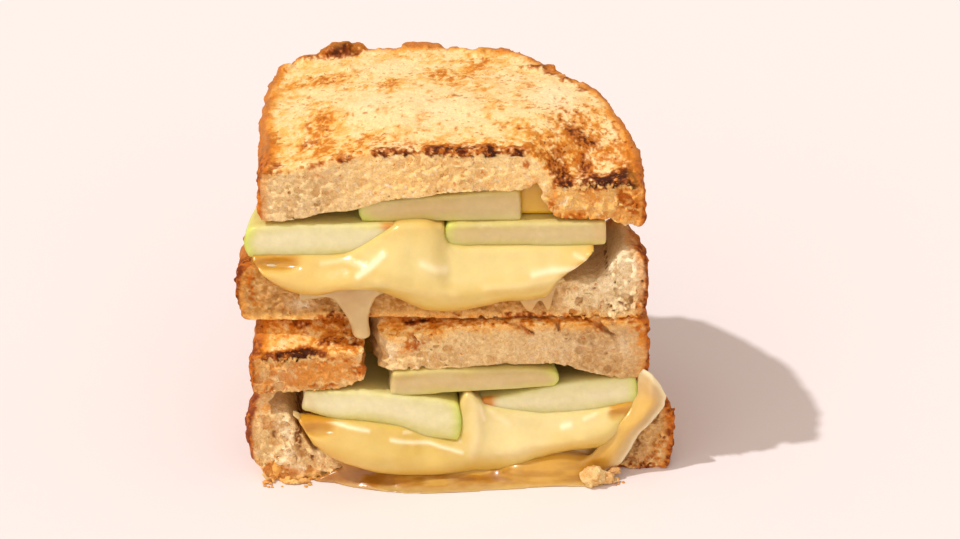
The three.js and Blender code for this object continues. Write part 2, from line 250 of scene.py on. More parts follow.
def axis(low, high, step, fine_to=None, coarse=None, growth=1.12):
    """Grid coordinates from low to high: step apart up to fine_to, and then growing to coarse apart."""
    if fine_to is None:
        return np.arange(low, high + step, step)
    out = list(np.arange(low, fine_to, step))
    s = step
    while out[-1] < high:
        s = min(coarse, s * growth)
        out.append(out[-1] + s)
    return np.array(out)


# ---------- mesh objects ----------
def srgb(r, g, b):
    return np.array([((c / 255 + 0.055) / 1.055) ** 2.4 if c > 10 else c / 255 / 12.92 for c in (r, g, b)])


def make_piece(name, half, verts, quads, colour, extra, material, replaces=(), row=False):
    """verts in mm in the half's frame. colour is linear RGB at each vertex, extra any other numbers there."""
    p = verts * 0.001 if row else to_row(verts, half)
    mesh = bpy.data.meshes.new(name)
    mesh.vertices.add(len(p))
    mesh.vertices.foreach_set("co", p.astype(np.float32).ravel())
    loops = quads.ravel().astype(np.int32)
    mesh.loops.add(len(loops))
    mesh.loops.foreach_set("vertex_index", loops)
    mesh.polygons.add(len(quads))
    per = quads.shape[1]
    mesh.polygons.foreach_set("loop_start", np.arange(0, len(loops), per, dtype=np.int32))
    mesh.polygons.foreach_set("loop_total", np.full(len(quads), per, np.int32))
    mesh.polygons.foreach_set("use_smooth", np.ones(len(quads), bool))
    mesh.update(calc_edges=True)
    mesh.validate()
    rgba = np.ones((len(p), 4), np.float32)
    rgba[:, :3] = np.clip(colour, 0, 1)
    a = mesh.attributes.new("tint", "FLOAT_COLOR", "POINT")
    a.data.foreach_set("color", rgba.ravel())
    for key, value in extra.items():
        a = mesh.attributes.new(key, "FLOAT", "POINT")
        a.data.foreach_set("value", np.asarray(value, np.float32).ravel())
    obj = bpy.data.objects.new(name, mesh)
    bpy.context.scene.collection.objects.link(obj)
    mesh.materials.append(material)
    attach(obj, "root")
    if replaces:
        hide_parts(*replaces)
    print(name, len(p), "vertices", 2 * len(quads) if per == 4 else len(quads), "triangles")
    return obj


# ---------- heights of the surfaces, as in the construction ----------
def up_top_level(x, y):
    return (
        85.6
        - 8.8 * sm((-10 - x) / 38) * (1 - 0.3 * sm(y / 60))
        - 9.2 * sm((x - 18) / (10 + 18 * sm(y / 14))) * (1 - 0.86 * sm(y / 40))
        - 2.2 * sm((x - 40) / 5) * (1 - sm(y / 30))
        - 9.5 * sm((y - 22) / 46)
    )


def up_top_under(x, y):
    lip = 1.1 * (1 - sm((x - 17) / 5)) - 0.4 * sm((-28 - x) / 9) + 1.9 * sm((-1 - x) / 10) * (1 - sm((-25 - x) / 11))
    return up_top_level(x, y) - lip * (1 - 0.75 * sm((y - 2) / 8))


def up_top_over(x, y):
    return up_top_level(x, y) + 11.4 + 2.2 * sm((x - 40) / 5) * (1 - sm(y / 30)) + 3.4 * sm((-8 - x) / 34) + 1.3 * sm(y / 30) + 6.5 * sm((y - 26) / 44)


def up_base_under(x, y):
    return LEVEL + 0.5 - 0.6 * sm((-x - 30) / 25)


def up_base_over(x, y):
    return 57.8 + 4.6 * sm((-x - 30) / 20) + 8.9 * sm((x - 37) / 8) + 4.5 * sm((y - 46) / 18)


def lo_top_under(x, y):
    return (
        33.4
        - 5.4 * sm((x - 24) / 24) * (1 - 0.3 * sm(y / 60))
        - 5.6 * sm((-15 - x) / 18) * (1 - 0.45 * sm(y / 26))
        - 6.0 * sm((y - 24) / 44)
    )


def lo_top_over(x, y):
    return (
        LEVEL
        - 0.3
        - 6.6 * sm((-19 - x) / 6) * (1 - sm(y / 17))
        - 2.6 * sm((2 - x) / 16) * sm((x + 22) / 4) * (1 - sm(y / 10))
        - 1.0 * sm((y - 50) / 18)
    )


def lo_base_over(x, y):
    return 8.6 + 10.2 * sm((x - 33) / 22) + 13.0 * sm((-x - 37) / 9) + 5.0 * sm((y - 46) / 16)


def outline_radius(angle, s):
    """Distance of a slice's crust from the middle of its cut, at an angle."""
    half = (s["x1"] - s["x0"]) / 2
    middle = (s["x0"] + s["x1"]) / 2
    depth = s["depth"]
    to_left = sm((angle / math.pi - 0.38) / 0.32)
    boxy = s.get("boxy", BOXY)
    domed = s.get("domed", DOMED)
    n = mix(domed, boxy, to_left) if s["dome"] == "right" else mix(boxy, domed, to_left)
    c = np.abs(np.cos(angle)) / half + 1e-9
    d = np.abs(np.sin(angle)) / depth + 1e-9
    r = (c**n + d**n) ** (-1 / n)
    ends = sm(np.sin(angle) * 3)
    r = r * (1 + ends * (0.01 * np.sin(5 * angle + 1) + 0.006 * np.sin(11 * angle + s["x0"])))
    r = r - s.get("pinch", 0) * sm((angle - 0.05) / 0.35) * (1 - sm((angle - 0.8) / 0.6))
    if "dent" in s:
        at = math.pi / 2 - (s["dent"] - middle) / depth
        r = r - 2 * bell(angle, at, 0.045) - 2.8 * sm((at - angle) / 0.1) * sm(angle / 0.9)
    return r


SLICES = {
    "upper_top_bread": dict(x0=-51.2, x1=49.8, depth=DEPTH + 1.4, dome="right", domed=2.15, boxy=9, dent=6, under=up_top_under, over=up_top_over),
    "upper_base_bread": dict(x0=-57.8, x1=51.0, depth=DEPTH - 2, dome="right", boxy=2.6, under=up_base_under, over=up_base_over),
    "lower_top_bread": dict(x0=-54.5, x1=52.0, depth=DEPTH - 3.5, dome="left", under=lo_top_under, over=lo_top_over),
    "lower_base_bread": dict(x0=-56.2, x1=59.2, depth=DEPTH - 1.5, dome="left", pinch=6, under=lambda x, y: 0 * x, over=lo_base_over),
}

# ---------- bread ----------
CREAM = srgb(251, 230, 178)
CRUMB_DARK = srgb(214, 160, 88)
CRUMB_GOLD = srgb(250, 204, 124)
BUTTER = srgb(250, 219, 158)
GOLD = srgb(244, 186, 98)
AMBER = srgb(224, 142, 48)
RUST = srgb(186, 96, 20)
BROWN = srgb(118, 50, 8)
CHAR = srgb(58, 22, 6)
CRUST = srgb(198, 110, 38)
CRUST_DARK = srgb(124, 56, 20)
MAROON = srgb(136, 66, 44)


def ramp(t, stops):
    """Colour along stops [(at, colour), ...], with smooth steps between."""
    out = np.tile(stops[0][1], (len(t), 1)).astype(float)
    for (a, ca), (b, cb) in zip(stops[:-1], stops[1:]):
        k = sm((t - a) / (b - a))[:, None]
        out = out * (1 - k) + cb * k
    return out


def lay(colour, over, amount):
    k = np.clip(amount, 0, 1)[:, None]
    return colour * (1 - k) + over * k


def sum_spots(u, v, spots):
    total = np.zeros(len(u))
    for su, sv, wu, wv, g in spots:
        total = total + g * np.exp(-(((u - su) / wu) ** 2) - ((v - sv) / wv) ** 2)
    return total


def bread(name, seed, outer, rough, gold=(), specks=(), char=(), cut_gold=(), cut_rust=(), cut_pale=(), edits=None, golden=None, pores=1.0, torn_hollow_shade=0.0, rim=(2.0, 1.0), slice_shade=0.0, crust_tone=0.0, shade=None, maroon=None, crust_depth=1.5, pale=(), cut_shade=()):
    """outer is +1 where the toasted face is on top and -1 where it is underneath. rough(x) is how torn the cut face is.
    gold, specks and char are (x, y, size_x, size_y, strength) on the toasted face; cut_... are (x, z, ...) on the cut face."""
    s = SLICES[name]
    half = name.split("_")[0]
    rng = np.random.default_rng(seed)
    margin = 3.0
    xs = axis(s["x0"] - margin, s["x1"] + margin, RES)
    ys = axis(-3.6, s["depth"] + margin, RES, 5.0, 0.95)
    gx, gy = np.meshgrid(xs, ys, indexing="ij")
    gx, gy = gx.astype(np.float32), gy.astype(np.float32)
    y_in = np.maximum(gy, 0)
    under, over = s["under"](gx, y_in), s["over"](gx, y_in)
    zs = axis(float(under.min()) - 2.0, float(over.max()) + 4.6, RES)
    axes = [xs, ys, zs]
    middle = (s["x0"] + s["x1"]) / 2
    rho = np.hypot(gx - middle, y_in)
    angle = np.arctan2(np.maximum(gy, 1e-4), gx - middle)
    radius = outline_radius(angle, s)
    side_flat = (rho - radius)[:, :, None]
    z = zs[None, None, :].astype(np.float32)
    w = (z - under[:, :, None]) / (over - under)[:, :, None]

    def edge_round(w):
        top, low = (rim[0], rim[1]) if outer > 0 else (rim[1], rim[0])
        a = np.clip(2 * w - 1, 0, 1)
        b = np.clip(1 - 2 * w, 0, 1)
        return top * (1 - np.sqrt(np.clip(1 - a**3, 0, 1))) + low * (1 - np.sqrt(np.clip(1 - b**3, 0, 1)))

    inset = edge_round(np.clip(w, 0, 1))
    near_rim = sm((side_flat + 8) / 6)  # towards the crust
    n_big = grid_noise(axes, 9.0, seed + 1)
    n_mid = grid_noise(axes, (3.1, 3.1, 2.3), seed + 2)
    n_small = grid_noise(axes, (1.35, 1.35, 1.1), seed + 3)
    n_fine = grid_noise(axes, 0.8, seed + 4)
    crust = side_flat + inset - 0.45 * n_big - 0.85 * n_mid * sm(n_mid + 0.6) - 0.5 * n_small - 0.2 * n_fine
    top_noise = 0.26 * n_mid + 0.24 * n_small + 0.16 * n_fine
    top_noise += near_rim * (0.48 * np.maximum(n_mid, -0.1) + 0.28 * n_small)
    toasted = z - over[:, :, None] - top_noise if outer > 0 else under[:, :, None] - z - 0.6 * top_noise
    inner_noise = 0.24 * n_mid + 0.24 * n_small + 0.18 * n_fine
    inner = under[:, :, None] - z - inner_noise if outer > 0 else z - over[:, :, None] - inner_noise
    torn = rough(gx)[:, :, None]
    n_strand = grid_noise(axes, (1.0, 1.6, 2.8), seed + 5)
    ripple = 0.45 * np.sin(gx / 6.5 + seed)[:, :, None]
    cut = -gy[:, :, None] + ripple + 0.28 * n_small + 0.34 * n_fine + torn * (1.0 * n_mid + 1.3 * n_strand + 1.3 * n_small + 0.8 * n_fine + 0.4)
    f = smax(toasted, inner, 0.4)
    f = smax(f, crust, 1.2)
    f = smax(f, cut, 0.4)
    if edits:
        f = edits(f, gx[:, :, None], gy[:, :, None], z, n_mid, n_small, n_fine)
    # pores opened by the cut: many fine ones and a few wide ones, longer along the slice than up
    open_x = (s["x0"] + 1.6, s["x1"] - 1.6)
    n_pores = int(900 * pores)
    for _ in range(n_pores):
        r = 0.30 + 0.20 * rng.exponential() if rng.random() < 0.97 else rng.uniform(0.8, 1.3)
        r = min(r, 1.3)
        cx = rng.uniform(*open_x)
        cy = rng.uniform(-0.7, 0.35)
        u0 = float(np.interp(cx, xs, under[:, 8]))
        o0 = float(np.interp(cx, xs, over[:, 8]))
        cz = rng.uniform(u0 + 0.5, o0 - 0.5)
        depth_in = (cz - u0) if outer < 0 else (o0 - cz)
        if r > 0.8 and depth_in < 2.2:
            continue
        rx, ry, rz = r * rng.uniform(0.9, 1.4), r * 1.2, r * rng.uniform(0.8, 1.2)
        i0, i1 = np.searchsorted(xs, (cx - rx - 0.6, cx + rx + 0.6))
        j0, j1 = np.searchsorted(ys, (cy - ry - 0.6, cy + ry + 0.6))
        k0, k1 = np.searchsorted(zs, (cz - rz - 0.6, cz + rz + 0.6))
        dx = ((xs[i0:i1] - cx) / rx)[:, None, None]
        dy = ((ys[j0:j1] - cy) / ry)[None, :, None]
        dz = ((zs[k0:k1] - cz) / rz)[None, None, :]
        pit = (1 - np.sqrt(dx * dx + dy * dy + dz * dz)) * r
        f[i0:i1, j0:j1, k0:k1] = smax(f[i0:i1, j0:j1, k0:k1], pit.astype(np.float32), 0.18)
    verts, quads = skin(f, axes, 220)
    verts = relax(verts, quads, 1, 0.35)
    verts[:, 2] = np.maximum(verts[:, 2], 0.02)
    # where each vertex lies in the slice
    x, y, zz = verts.T
    yy = np.maximum(y, 0)
    lo, hi = s["under"](x, yy), s["over"](x, yy)
    wv = np.clip((zz - lo) / (hi - lo), 0, 1)
    ang = np.arctan2(np.maximum(y, 1e-4), x - middle)
    in_crust = outline_radius(ang, s) - edge_round(wv) - np.hypot(x - middle, yy)
    in_toast = (hi - zz) if outer > 0 else (zz - lo)
    behind = y - 0.45 * np.sin(x / 6.5 + seed)  # how deep behind the cut
    n1 = point_fbm(verts, 7.0, seed + 11, 3)
    n2 = point_fbm(verts, 2.6, seed + 12, 3)
    n3 = point_fbm(verts, (1.1, 1.1, 0.9), seed + 13, 2)
    n4 = point_noise(verts, 0.62, seed + 14)
    # crumb: lighter walls, and painted shade in the hollows behind the cut face
    hollow = sm((behind - 0.25) / 1.6) * sm((4.5 - behind) / 1.5)
    g_amount = np.zeros(len(x)) if golden is None else golden(x, zz)
    crumb = lay(np.tile(CREAM, (len(x), 1)), CRUMB_GOLD, g_amount + 0.30 * n1 + 0.16 * n2)
    # painted shade: CRUMB_DARK laid over the hollows and over a whole slice that sits in shade, on top of the random
    # tone
    crumb = lay(crumb, CRUMB_DARK, 0.10 + slice_shade + (0.22 + torn_hollow_shade) * hollow + 0.10 * n2 + 0.22 * n3 + 0.42 * n4)
    crumb = lay(crumb, srgb(255, 240, 204), 0.85 * sm((n4 + 0.5 * n3 - 0.40) / 0.45))
    if shade is not None:
        crumb = lay(crumb, srgb(178, 120, 50), shade(x, zz) * (1 + 0.25 * n2 + 0.30 * n3 + 0.3 * n4))
    crumb = lay(crumb, srgb(250, 234, 198), sum_spots(x, zz, cut_pale) * (0.7 + 0.8 * n3))
    cg = sum_spots(x, zz, cut_gold)
    crumb = lay(crumb, AMBER, 0.75 * sm((cg * (1 + 0.9 * n3 + 0.6 * n2) - 0.25) / 0.6))
    cr = sum_spots(x, zz, cut_rust)
    crumb = lay(crumb, RUST, 0.9 * sm((cr * (1 + 1.0 * n3 + 0.7 * n2 + 0.4 * n4) - 0.4) / 0.4))
    # painted shade: crumb lying further back behind the cut face, under the layer above, is darker
    crumb = lay(crumb, srgb(190, 138, 76), 0.55 * sm((behind - 2.5) / 3.0))
    # painted shade in the holes and pockets of the torn crumb
    cd = sum_spots(x, zz, cut_shade)
    crumb = lay(crumb, srgb(116, 62, 22), 0.9 * sm((cd * (1 + 0.9 * n3 + 0.6 * n2 + 0.4 * n4) - 0.35) / 0.45))
    # toasted face
    g = sum_spots(x, y, gold)
    k = sum_spots(x, y, specks)
    burn = sum_spots(x, y, char)
    rim_brown = sm((3.4 + 1.6 * n1 - in_crust) / 3.2)
    grain = sm(0.42 + 1.3 * n3 + 0.9 * n2 + 0.5 * n4)
    # slice_shade also darkens the toasted face of a slice that sits in shade, as painted shade
    brown = 0.08 + slice_shade + 0.26 * n1 + 0.24 * n2 + 0.22 * n3 + 0.66 * rim_brown + g * (0.25 + 0.75 * grain) + 0.25 * k * grain
    face = ramp(brown, [(0.0, BUTTER), (0.45, GOLD), (0.9, AMBER), (1.35, RUST), (1.8, BROWN)])
    face = lay(face, srgb(255, 238, 200), 0.85 * sum_spots(x, y, pale) * (0.75 + 0.5 * n2 + 0.3 * n3) * (1 - rim_brown))
    cluster = sm((0.8 * n2 + 0.9 * n3 + 0.35 * n4 + 0.10 * k - 0.50) / 0.20)
    face = lay(face, srgb(218, 152, 62), 0.62 * cluster)
    speck = 0.02 + 0.80 * k + 0.40 * rim_brown + 0.34 * g
    spot = sm((n3 + 0.35 * n2 + 0.35 * n4 + 0.72 * np.clip(speck, 0, 1.2) - 0.86) / 0.22)
    face = lay(face, srgb(208, 122, 30), 0.85 * spot)
    face = lay(face, srgb(140, 66, 20), 0.9 * sm((n3 + 0.35 * n2 + 0.35 * n4 + 0.62 * np.clip(speck, 0, 1.2) - 1.14) / 0.25))
    level = burn * (1.0 + 0.9 * n3 + 0.6 * n2 + 0.5 * n4)
    face = lay(face, RUST, 0.85 * sm((level - 0.28) / 0.28))
    face = lay(face, BROWN, 0.92 * sm((level - 0.62) / 0.32))
    face = lay(face, CHAR, 0.92 * sm((level - 1.15) / 0.45))
    skin_depth = 0.45 + 0.45 * sm(0.5 + n2) + 1.7 * np.clip(burn, 0, 1) * sm(0.6 + n3)
    on_face = sm((skin_depth + 0.4 - in_toast) / 0.5)
    colour = lay(crumb, CRUMB_GOLD * 0.9 + AMBER * 0.1, sm((3.0 + 1.5 * n2 - in_toast) / 2.6) * 0.85)
    colour = lay(colour, AMBER, sm((1.7 + 0.8 * n2 - in_toast) / 1.2) * (0.45 + 0.5 * n1))
    colour = lay(colour, face, on_face)
    # crust round the edge
    crust_c = ramp(0.45 + 0.5 * n1 + (0.6 - 0.25 * sm((y - 4) / 8)) * n3 + crust_tone * (1 - 0.4 * sm((y - 4) / 10)), [(0.0, AMBER), (0.5, CRUST), (1.1, CRUST_DARK)])
    crust_c = lay(crust_c, srgb(192, 128, 66), 0.55 * sm((y - 4) / 10) * (1 + 0.5 * n2))
    crust_w = sm((crust_depth + 0.8 * n2 - in_crust) / 1.1)
    if maroon is not None:
        crust_c = lay(crust_c, MAROON, maroon(x, zz) * (1 + 0.6 * n2))
    colour = lay(colour, crust_c, crust_w)
    colour = lay(colour, AMBER, 0.50 * sm((3.6 + n2 - in_crust) / 2.4) * (1 - crust_w))
    extra = {
        "toast": on_face,
        "pore": np.clip((1 - on_face) * (1 - crust_w), 0, 1),
        "speck": np.clip(np.maximum(speck * on_face, (0.55 - 0.35 * sm((y - 4) / 10)) * crust_w), 0, 1.2),
    }
    return make_piece(name + ".crumb", half, verts, quads, colour, extra, MATERIALS["bread"], (name,))


# ---------- materials ----------
def principled(name, roughness, coat=0.0, coat_roughness=0.15, subsurface=0.0, radius=(1, 1, 1), scale=0.001, specular=0.5, sheen=0.0):
    m = bpy.data.materials.new(name)
    m.use_nodes = True
    t = m.node_tree
    b = t.nodes["Principled BSDF"]
    b.inputs["Roughness"].default_value = roughness
    b.inputs["Coat Weight"].default_value = coat
    b.inputs["Coat Roughness"].default_value = coat_roughness
    b.inputs["Subsurface Weight"].default_value = subsurface
    b.inputs["Subsurface Radius"].default_value = radius
    b.inputs["Subsurface Scale"].default_value = scale
    b.inputs["Specular IOR Level"].default_value = specular
    b.inputs["Sheen Weight"].default_value = sheen
    return m, t, b


def node(t, kind, **inputs):
    n = t.nodes.new(kind)
    for k, v in inputs.items():
        key = k.replace("_", " ")
        if key in n.inputs:
            n.inputs[key].default_value = v
        else:
            setattr(n, k, v)
    return n


def attribute(t, name):
    n = t.nodes.new("ShaderNodeAttribute")
    n.attribute_name = name
    return n


def remap(t, value, low, high, to_low, to_high):
    n = node(t, "ShaderNodeMapRange")
    for key, v in (("From Min", low), ("From Max", high), ("To Min", to_low), ("To Max", to_high)):
        n.inputs[key].default_value = v
    t.links.new(value, n.inputs["Value"])
    return n.outputs["Result"]


def math_node(t, kind, a, b):
    n = t.nodes.new("ShaderNodeMath")
    n.operation = kind
    for k, v in enumerate((a, b)):
        if isinstance(v, (int, float)):
            n.inputs[k].default_value = v
        else:
            t.links.new(v, n.inputs[k])
    return n.outputs[0]


def blend_colour(t, fac, a, b):
    n = t.nodes.new("ShaderNodeMix")
    n.data_type = "RGBA"
    t.links.new(fac, n.inputs[0])
    for k, v in ((6, a), (7, b)):
        if isinstance(v, (tuple, list, np.ndarray)):
            n.inputs[k].default_value = (*[float(c) for c in v], 1.0)
        else:
            t.links.new(v, n.inputs[k])
    return n.outputs[2]


def tinted(t, strength, scale, detail=4.0, seed_offset=0.0):
    """The vertex tint, made lighter and darker by fine noise fixed to the food."""
    tint = attribute(t, "tint")
    where = t.nodes.new("ShaderNodeTexCoord")
    shift = node(t, "ShaderNodeMapping")
    shift.inputs["Location"].default_value = (seed_offset, seed_offset * 0.7, 0)
    t.links.new(where.outputs["Object"], shift.inputs["Vector"])
    noise = node(t, "ShaderNodeTexNoise", Scale=scale, Detail=detail, Roughness=0.6)
    t.links.new(shift.outputs["Vector"], noise.inputs["Vector"])
    vary = remap(t, noise.outputs["Fac"], 0.3, 0.7, 1 - strength, 1 + strength)
    mul = t.nodes.new("ShaderNodeVectorMath")
    mul.operation = "SCALE"
    t.links.new(tint.outputs["Color"], mul.inputs[0])
    t.links.new(vary, mul.inputs["Scale"])
    return mul.outputs["Vector"], shift.outputs["Vector"], noise.outputs["Fac"]


def bread_material():
    m, t, b = principled("toasted_bread", 0.78, subsurface=0.12, radius=(1.0, 0.7, 0.35), scale=0.0015, specular=0.15)
    colour, where, grain = tinted(t, 0.17, 1500.0, 5.0)
    fine = node(t, "ShaderNodeTexNoise", Scale=1500.0, Detail=5.0, Roughness=0.65)
    t.links.new(where, fine.inputs["Vector"])
    cells = node(t, "ShaderNodeTexVoronoi", Scale=1800.0)
    t.links.new(where, cells.inputs["Vector"])
    # fine pores in the crumb, darkened as painted shade in them
    pit = remap(t, cells.outputs["Distance"], 0.42, 0.12, 0.0, 1.0)
    pit = math_node(t, "MULTIPLY", pit, remap(t, grain, 0.42, 0.58, 0.0, 1.0))
    pit = math_node(t, "MULTIPLY", pit, math_node(t, "MULTIPLY", attribute(t, "pore").outputs["Fac"], 0.62))
    colour = blend_colour(t, pit, colour, srgb(170, 122, 56))
    # fine browned specks on the toast and the crust
    dots = node(t, "ShaderNodeTexNoise", Scale=640.0, Detail=3.0, Roughness=0.55)
    t.links.new(where, dots.inputs["Vector"])
    level = math_node(t, "ADD", dots.outputs["Fac"], math_node(t, "MULTIPLY", attribute(t, "speck").outputs["Fac"], 0.17))
    colour = blend_colour(t, math_node(t, "MULTIPLY", remap(t, level, 0.655, 0.70, 0.0, 1.0), 0.7), colour, srgb(204, 118, 32))
    colour = blend_colour(t, math_node(t, "MULTIPLY", remap(t, level, 0.79, 0.83, 0.0, 1.0), 0.8), colour, srgb(118, 52, 16))
    t.links.new(colour, b.inputs["Base Color"])
    height = math_node(t, "ADD", fine.outputs["Fac"], math_node(t, "MULTIPLY", cells.outputs["Distance"], 0.5))
    height = math_node(t, "SUBTRACT", height, math_node(t, "MULTIPLY", pit, 0.8))
    bump = node(t, "ShaderNodeBump", Strength=0.45, Distance=0.0004)
    t.links.new(height, bump.inputs["Height"])
    t.links.new(bump.outputs["Normal"], b.inputs["Normal"])
    t.links.new(remap(t, attribute(t, "toast").outputs["Fac"], 0.0, 1.0, 0.88, 0.55), b.inputs["Roughness"])
    return m


def cheese_material(name, radius, roughness, bumpiness):
    m, t, b = principled(name, roughness, coat=0.42, coat_roughness=0.17, subsurface=0.5, radius=radius, scale=0.0035, specular=0.45)
    colour, where, _ = tinted(t, 0.04, 220.0, 4.0)
    t.links.new(colour, b.inputs["Base Color"])
    wave = node(t, "ShaderNodeTexNoise", Scale=240.0, Detail=3.0, Roughness=0.5)
    t.links.new(where, wave.inputs["Vector"])
    bump = node(t, "ShaderNodeBump", Strength=bumpiness, Distance=0.0007)
    t.links.new(wave.outputs["Fac"], bump.inputs["Height"])
    t.links.new(bump.outputs["Normal"], b.inputs["Normal"])
    return m


def apple_material():
    m, t, b = principled("green_apple", 0.40, coat=0.12, coat_roughness=0.2, subsurface=0.5, radius=(1.0, 0.9, 0.45), scale=0.004, specular=0.4)
    colour, where, _ = tinted(t, 0.04, 500.0, 4.0)
    t.links.new(colour, b.inputs["Base Color"])
    grain = node(t, "ShaderNodeTexNoise", Scale=900.0, Detail=4.0, Roughness=0.6)
    t.links.new(where, grain.inputs["Vector"])
    bump = node(t, "ShaderNodeBump", Strength=0.2, Distance=0.0003)
    t.links.new(grain.outputs["Fac"], bump.inputs["Height"])
    t.links.new(bump.outputs["Normal"], b.inputs["Normal"])
    return m


MATERIALS = {
    "bread": bread_material(),
    "yellow": cheese_material("yellow_cheese", (1.0, 0.62, 0.22), 0.30, 0.3),
    "white": cheese_material("white_cheese", (1.0, 0.8, 0.4), 0.32, 0.35),
    "apple": apple_material(),
}


# ---------- the four slices ----------
def blob(x, y, z, at, size):
    return (np.sqrt(((x - at[0]) / size[0]) ** 2 + ((y - at[1]) / size[1]) ** 2 + ((z - at[2]) / size[2]) ** 2) - 1) * min(size)


def edit_upper_top(f, x, y, z, n_mid, n_small, n_fine):
    # the slab of apple that the slice rests on
    fc = 17.2 - x
    arc = (np.sqrt((np.maximum(fc, 0) / 42.6) ** 2 + (np.maximum(y - 1.5, 0) / 44) ** 2) - 1) * 40
    top = np.interp(x, [-25.4, -20, -14, -4, 17.2], [80.2, 82.0, 83.2, 83.9, 84.4])
    slab = smax(smax(arc, z - top, 0.6), smax(-fc, 1.5 - y, 0.4), 0.4)
    f = smax(f, -(slab - 0.3), 0.3)
    v = np.clip((y + 4) / 20, 0, 1)
    wide = mix(9.5, 0.8, v**0.8) * mix(1.0, 0.1, np.clip((z - 74) / 17, 0, 1))
    gap = np.abs(x - 20.6 - 1.5 * v - 0.9 * n_mid) - wide / 2 - 0.4 * n_small
    gap = smax(gap, y - 15.5, 1.0)
    gap = smax(gap, z - 86.4 + 1.2 * n_mid, 1.0)
    f = smax(f, -gap, 0.5)
    # browned flaps and bumps along the far crust
    above = z - up_top_over(x, np.maximum(y, 0))
    for at, size in (
        ((-32.2, 67.0, 1.0), (4.6, 2.4, 2.4)), ((-27.0, 68.0, 0.6), (3.4, 1.7, 1.3)), ((-41.0, 64.0, 0.3), (3.4, 2.2, 1.4)), ((-46.6, 59.0, 0.2), (2.0, 2.6, 1.4)),
        ((-8.0, 69.6, 0.0), (5.5, 1.8, 1.0)), ((5.0, 64.0, -0.1), (3.0, 1.8, 0.9)), ((23.5, 53.6, 0.0), (4.0, 1.7, 1.2)), ((30.5, 45.6, 0.0), (1.3, 1.0, 1.3)),
    ):
        f = smin(f, blob(x, y, above, at, size) - 0.45 * n_mid - 0.3 * n_small, 1.0)
    return f


def edit_lower_top(f, x, y, z, n_mid, n_small, n_fine):
    v = np.clip((y + 4) / 27, 0, 1)
    wide = mix(7.8, 0.8, v**0.8)
    gap = np.abs(x + 21.2 + 2.5 * v - 1.1 * n_mid) - wide / 2 - 0.5 * n_small
    gap = smax(gap, y - 22.5, 1.0)
    f = smax(f, -gap, 0.5)
    # cracks that run down from the toasted edge
    for x0, z0, x1, z1, w in ((14.6, 47.0, 21.0, 42.6, 0.85), (27.0, 46.8, 27.8, 43.2, 0.65), (36.6, 46.6, 42.4, 41.4, 0.95), (-13.6, 45.6, -9.4, 41.2, 0.9)):
        t = np.clip(((x - x0) * (x1 - x0) + (z - z0) * (z1 - z0)) / ((x1 - x0) ** 2 + (z1 - z0) ** 2), 0, 1)
        d = np.sqrt((x - x0 - t * (x1 - x0)) ** 2 + (z - z0 - t * (z1 - z0)) ** 2) - w * (1.25 - t) - 0.25 * n_small
        f = smax(f, -smax(d, y - 2.6, 0.6), 0.3)
    return f


def edit_lower_base(f, x, y, z, n_mid, n_small, n_fine):
    # the torn lower left corner, and two holes in the crumb beside it
    corner = (x + 50.6) * -0.78 + (z - 2.6) * -0.42 - 0.9 - 0.09 * np.maximum(y, 0) + 0.9 * n_mid + 0.5 * n_small
    f = smax(f, corner, 1.0)
    for at, size in (((-43.6, 0.6, 24.6), (2.4, 3.4, 2.8)), ((-49.0, 0.2, 16.0), (1.5, 2.4, 3.4)), ((-42.0, -0.6, 12.5), (1.6, 2.4, 2.0)), ((-46.4, -0.6, 8.0), (1.2, 2.0, 1.6)), ((-40.4, -0.4, 5.6), (1.4, 1.8, 1.3))):
        f = smax(f, -(blob(x, y, z, at, size) - 0.5 * n_mid), 0.5)
    return f


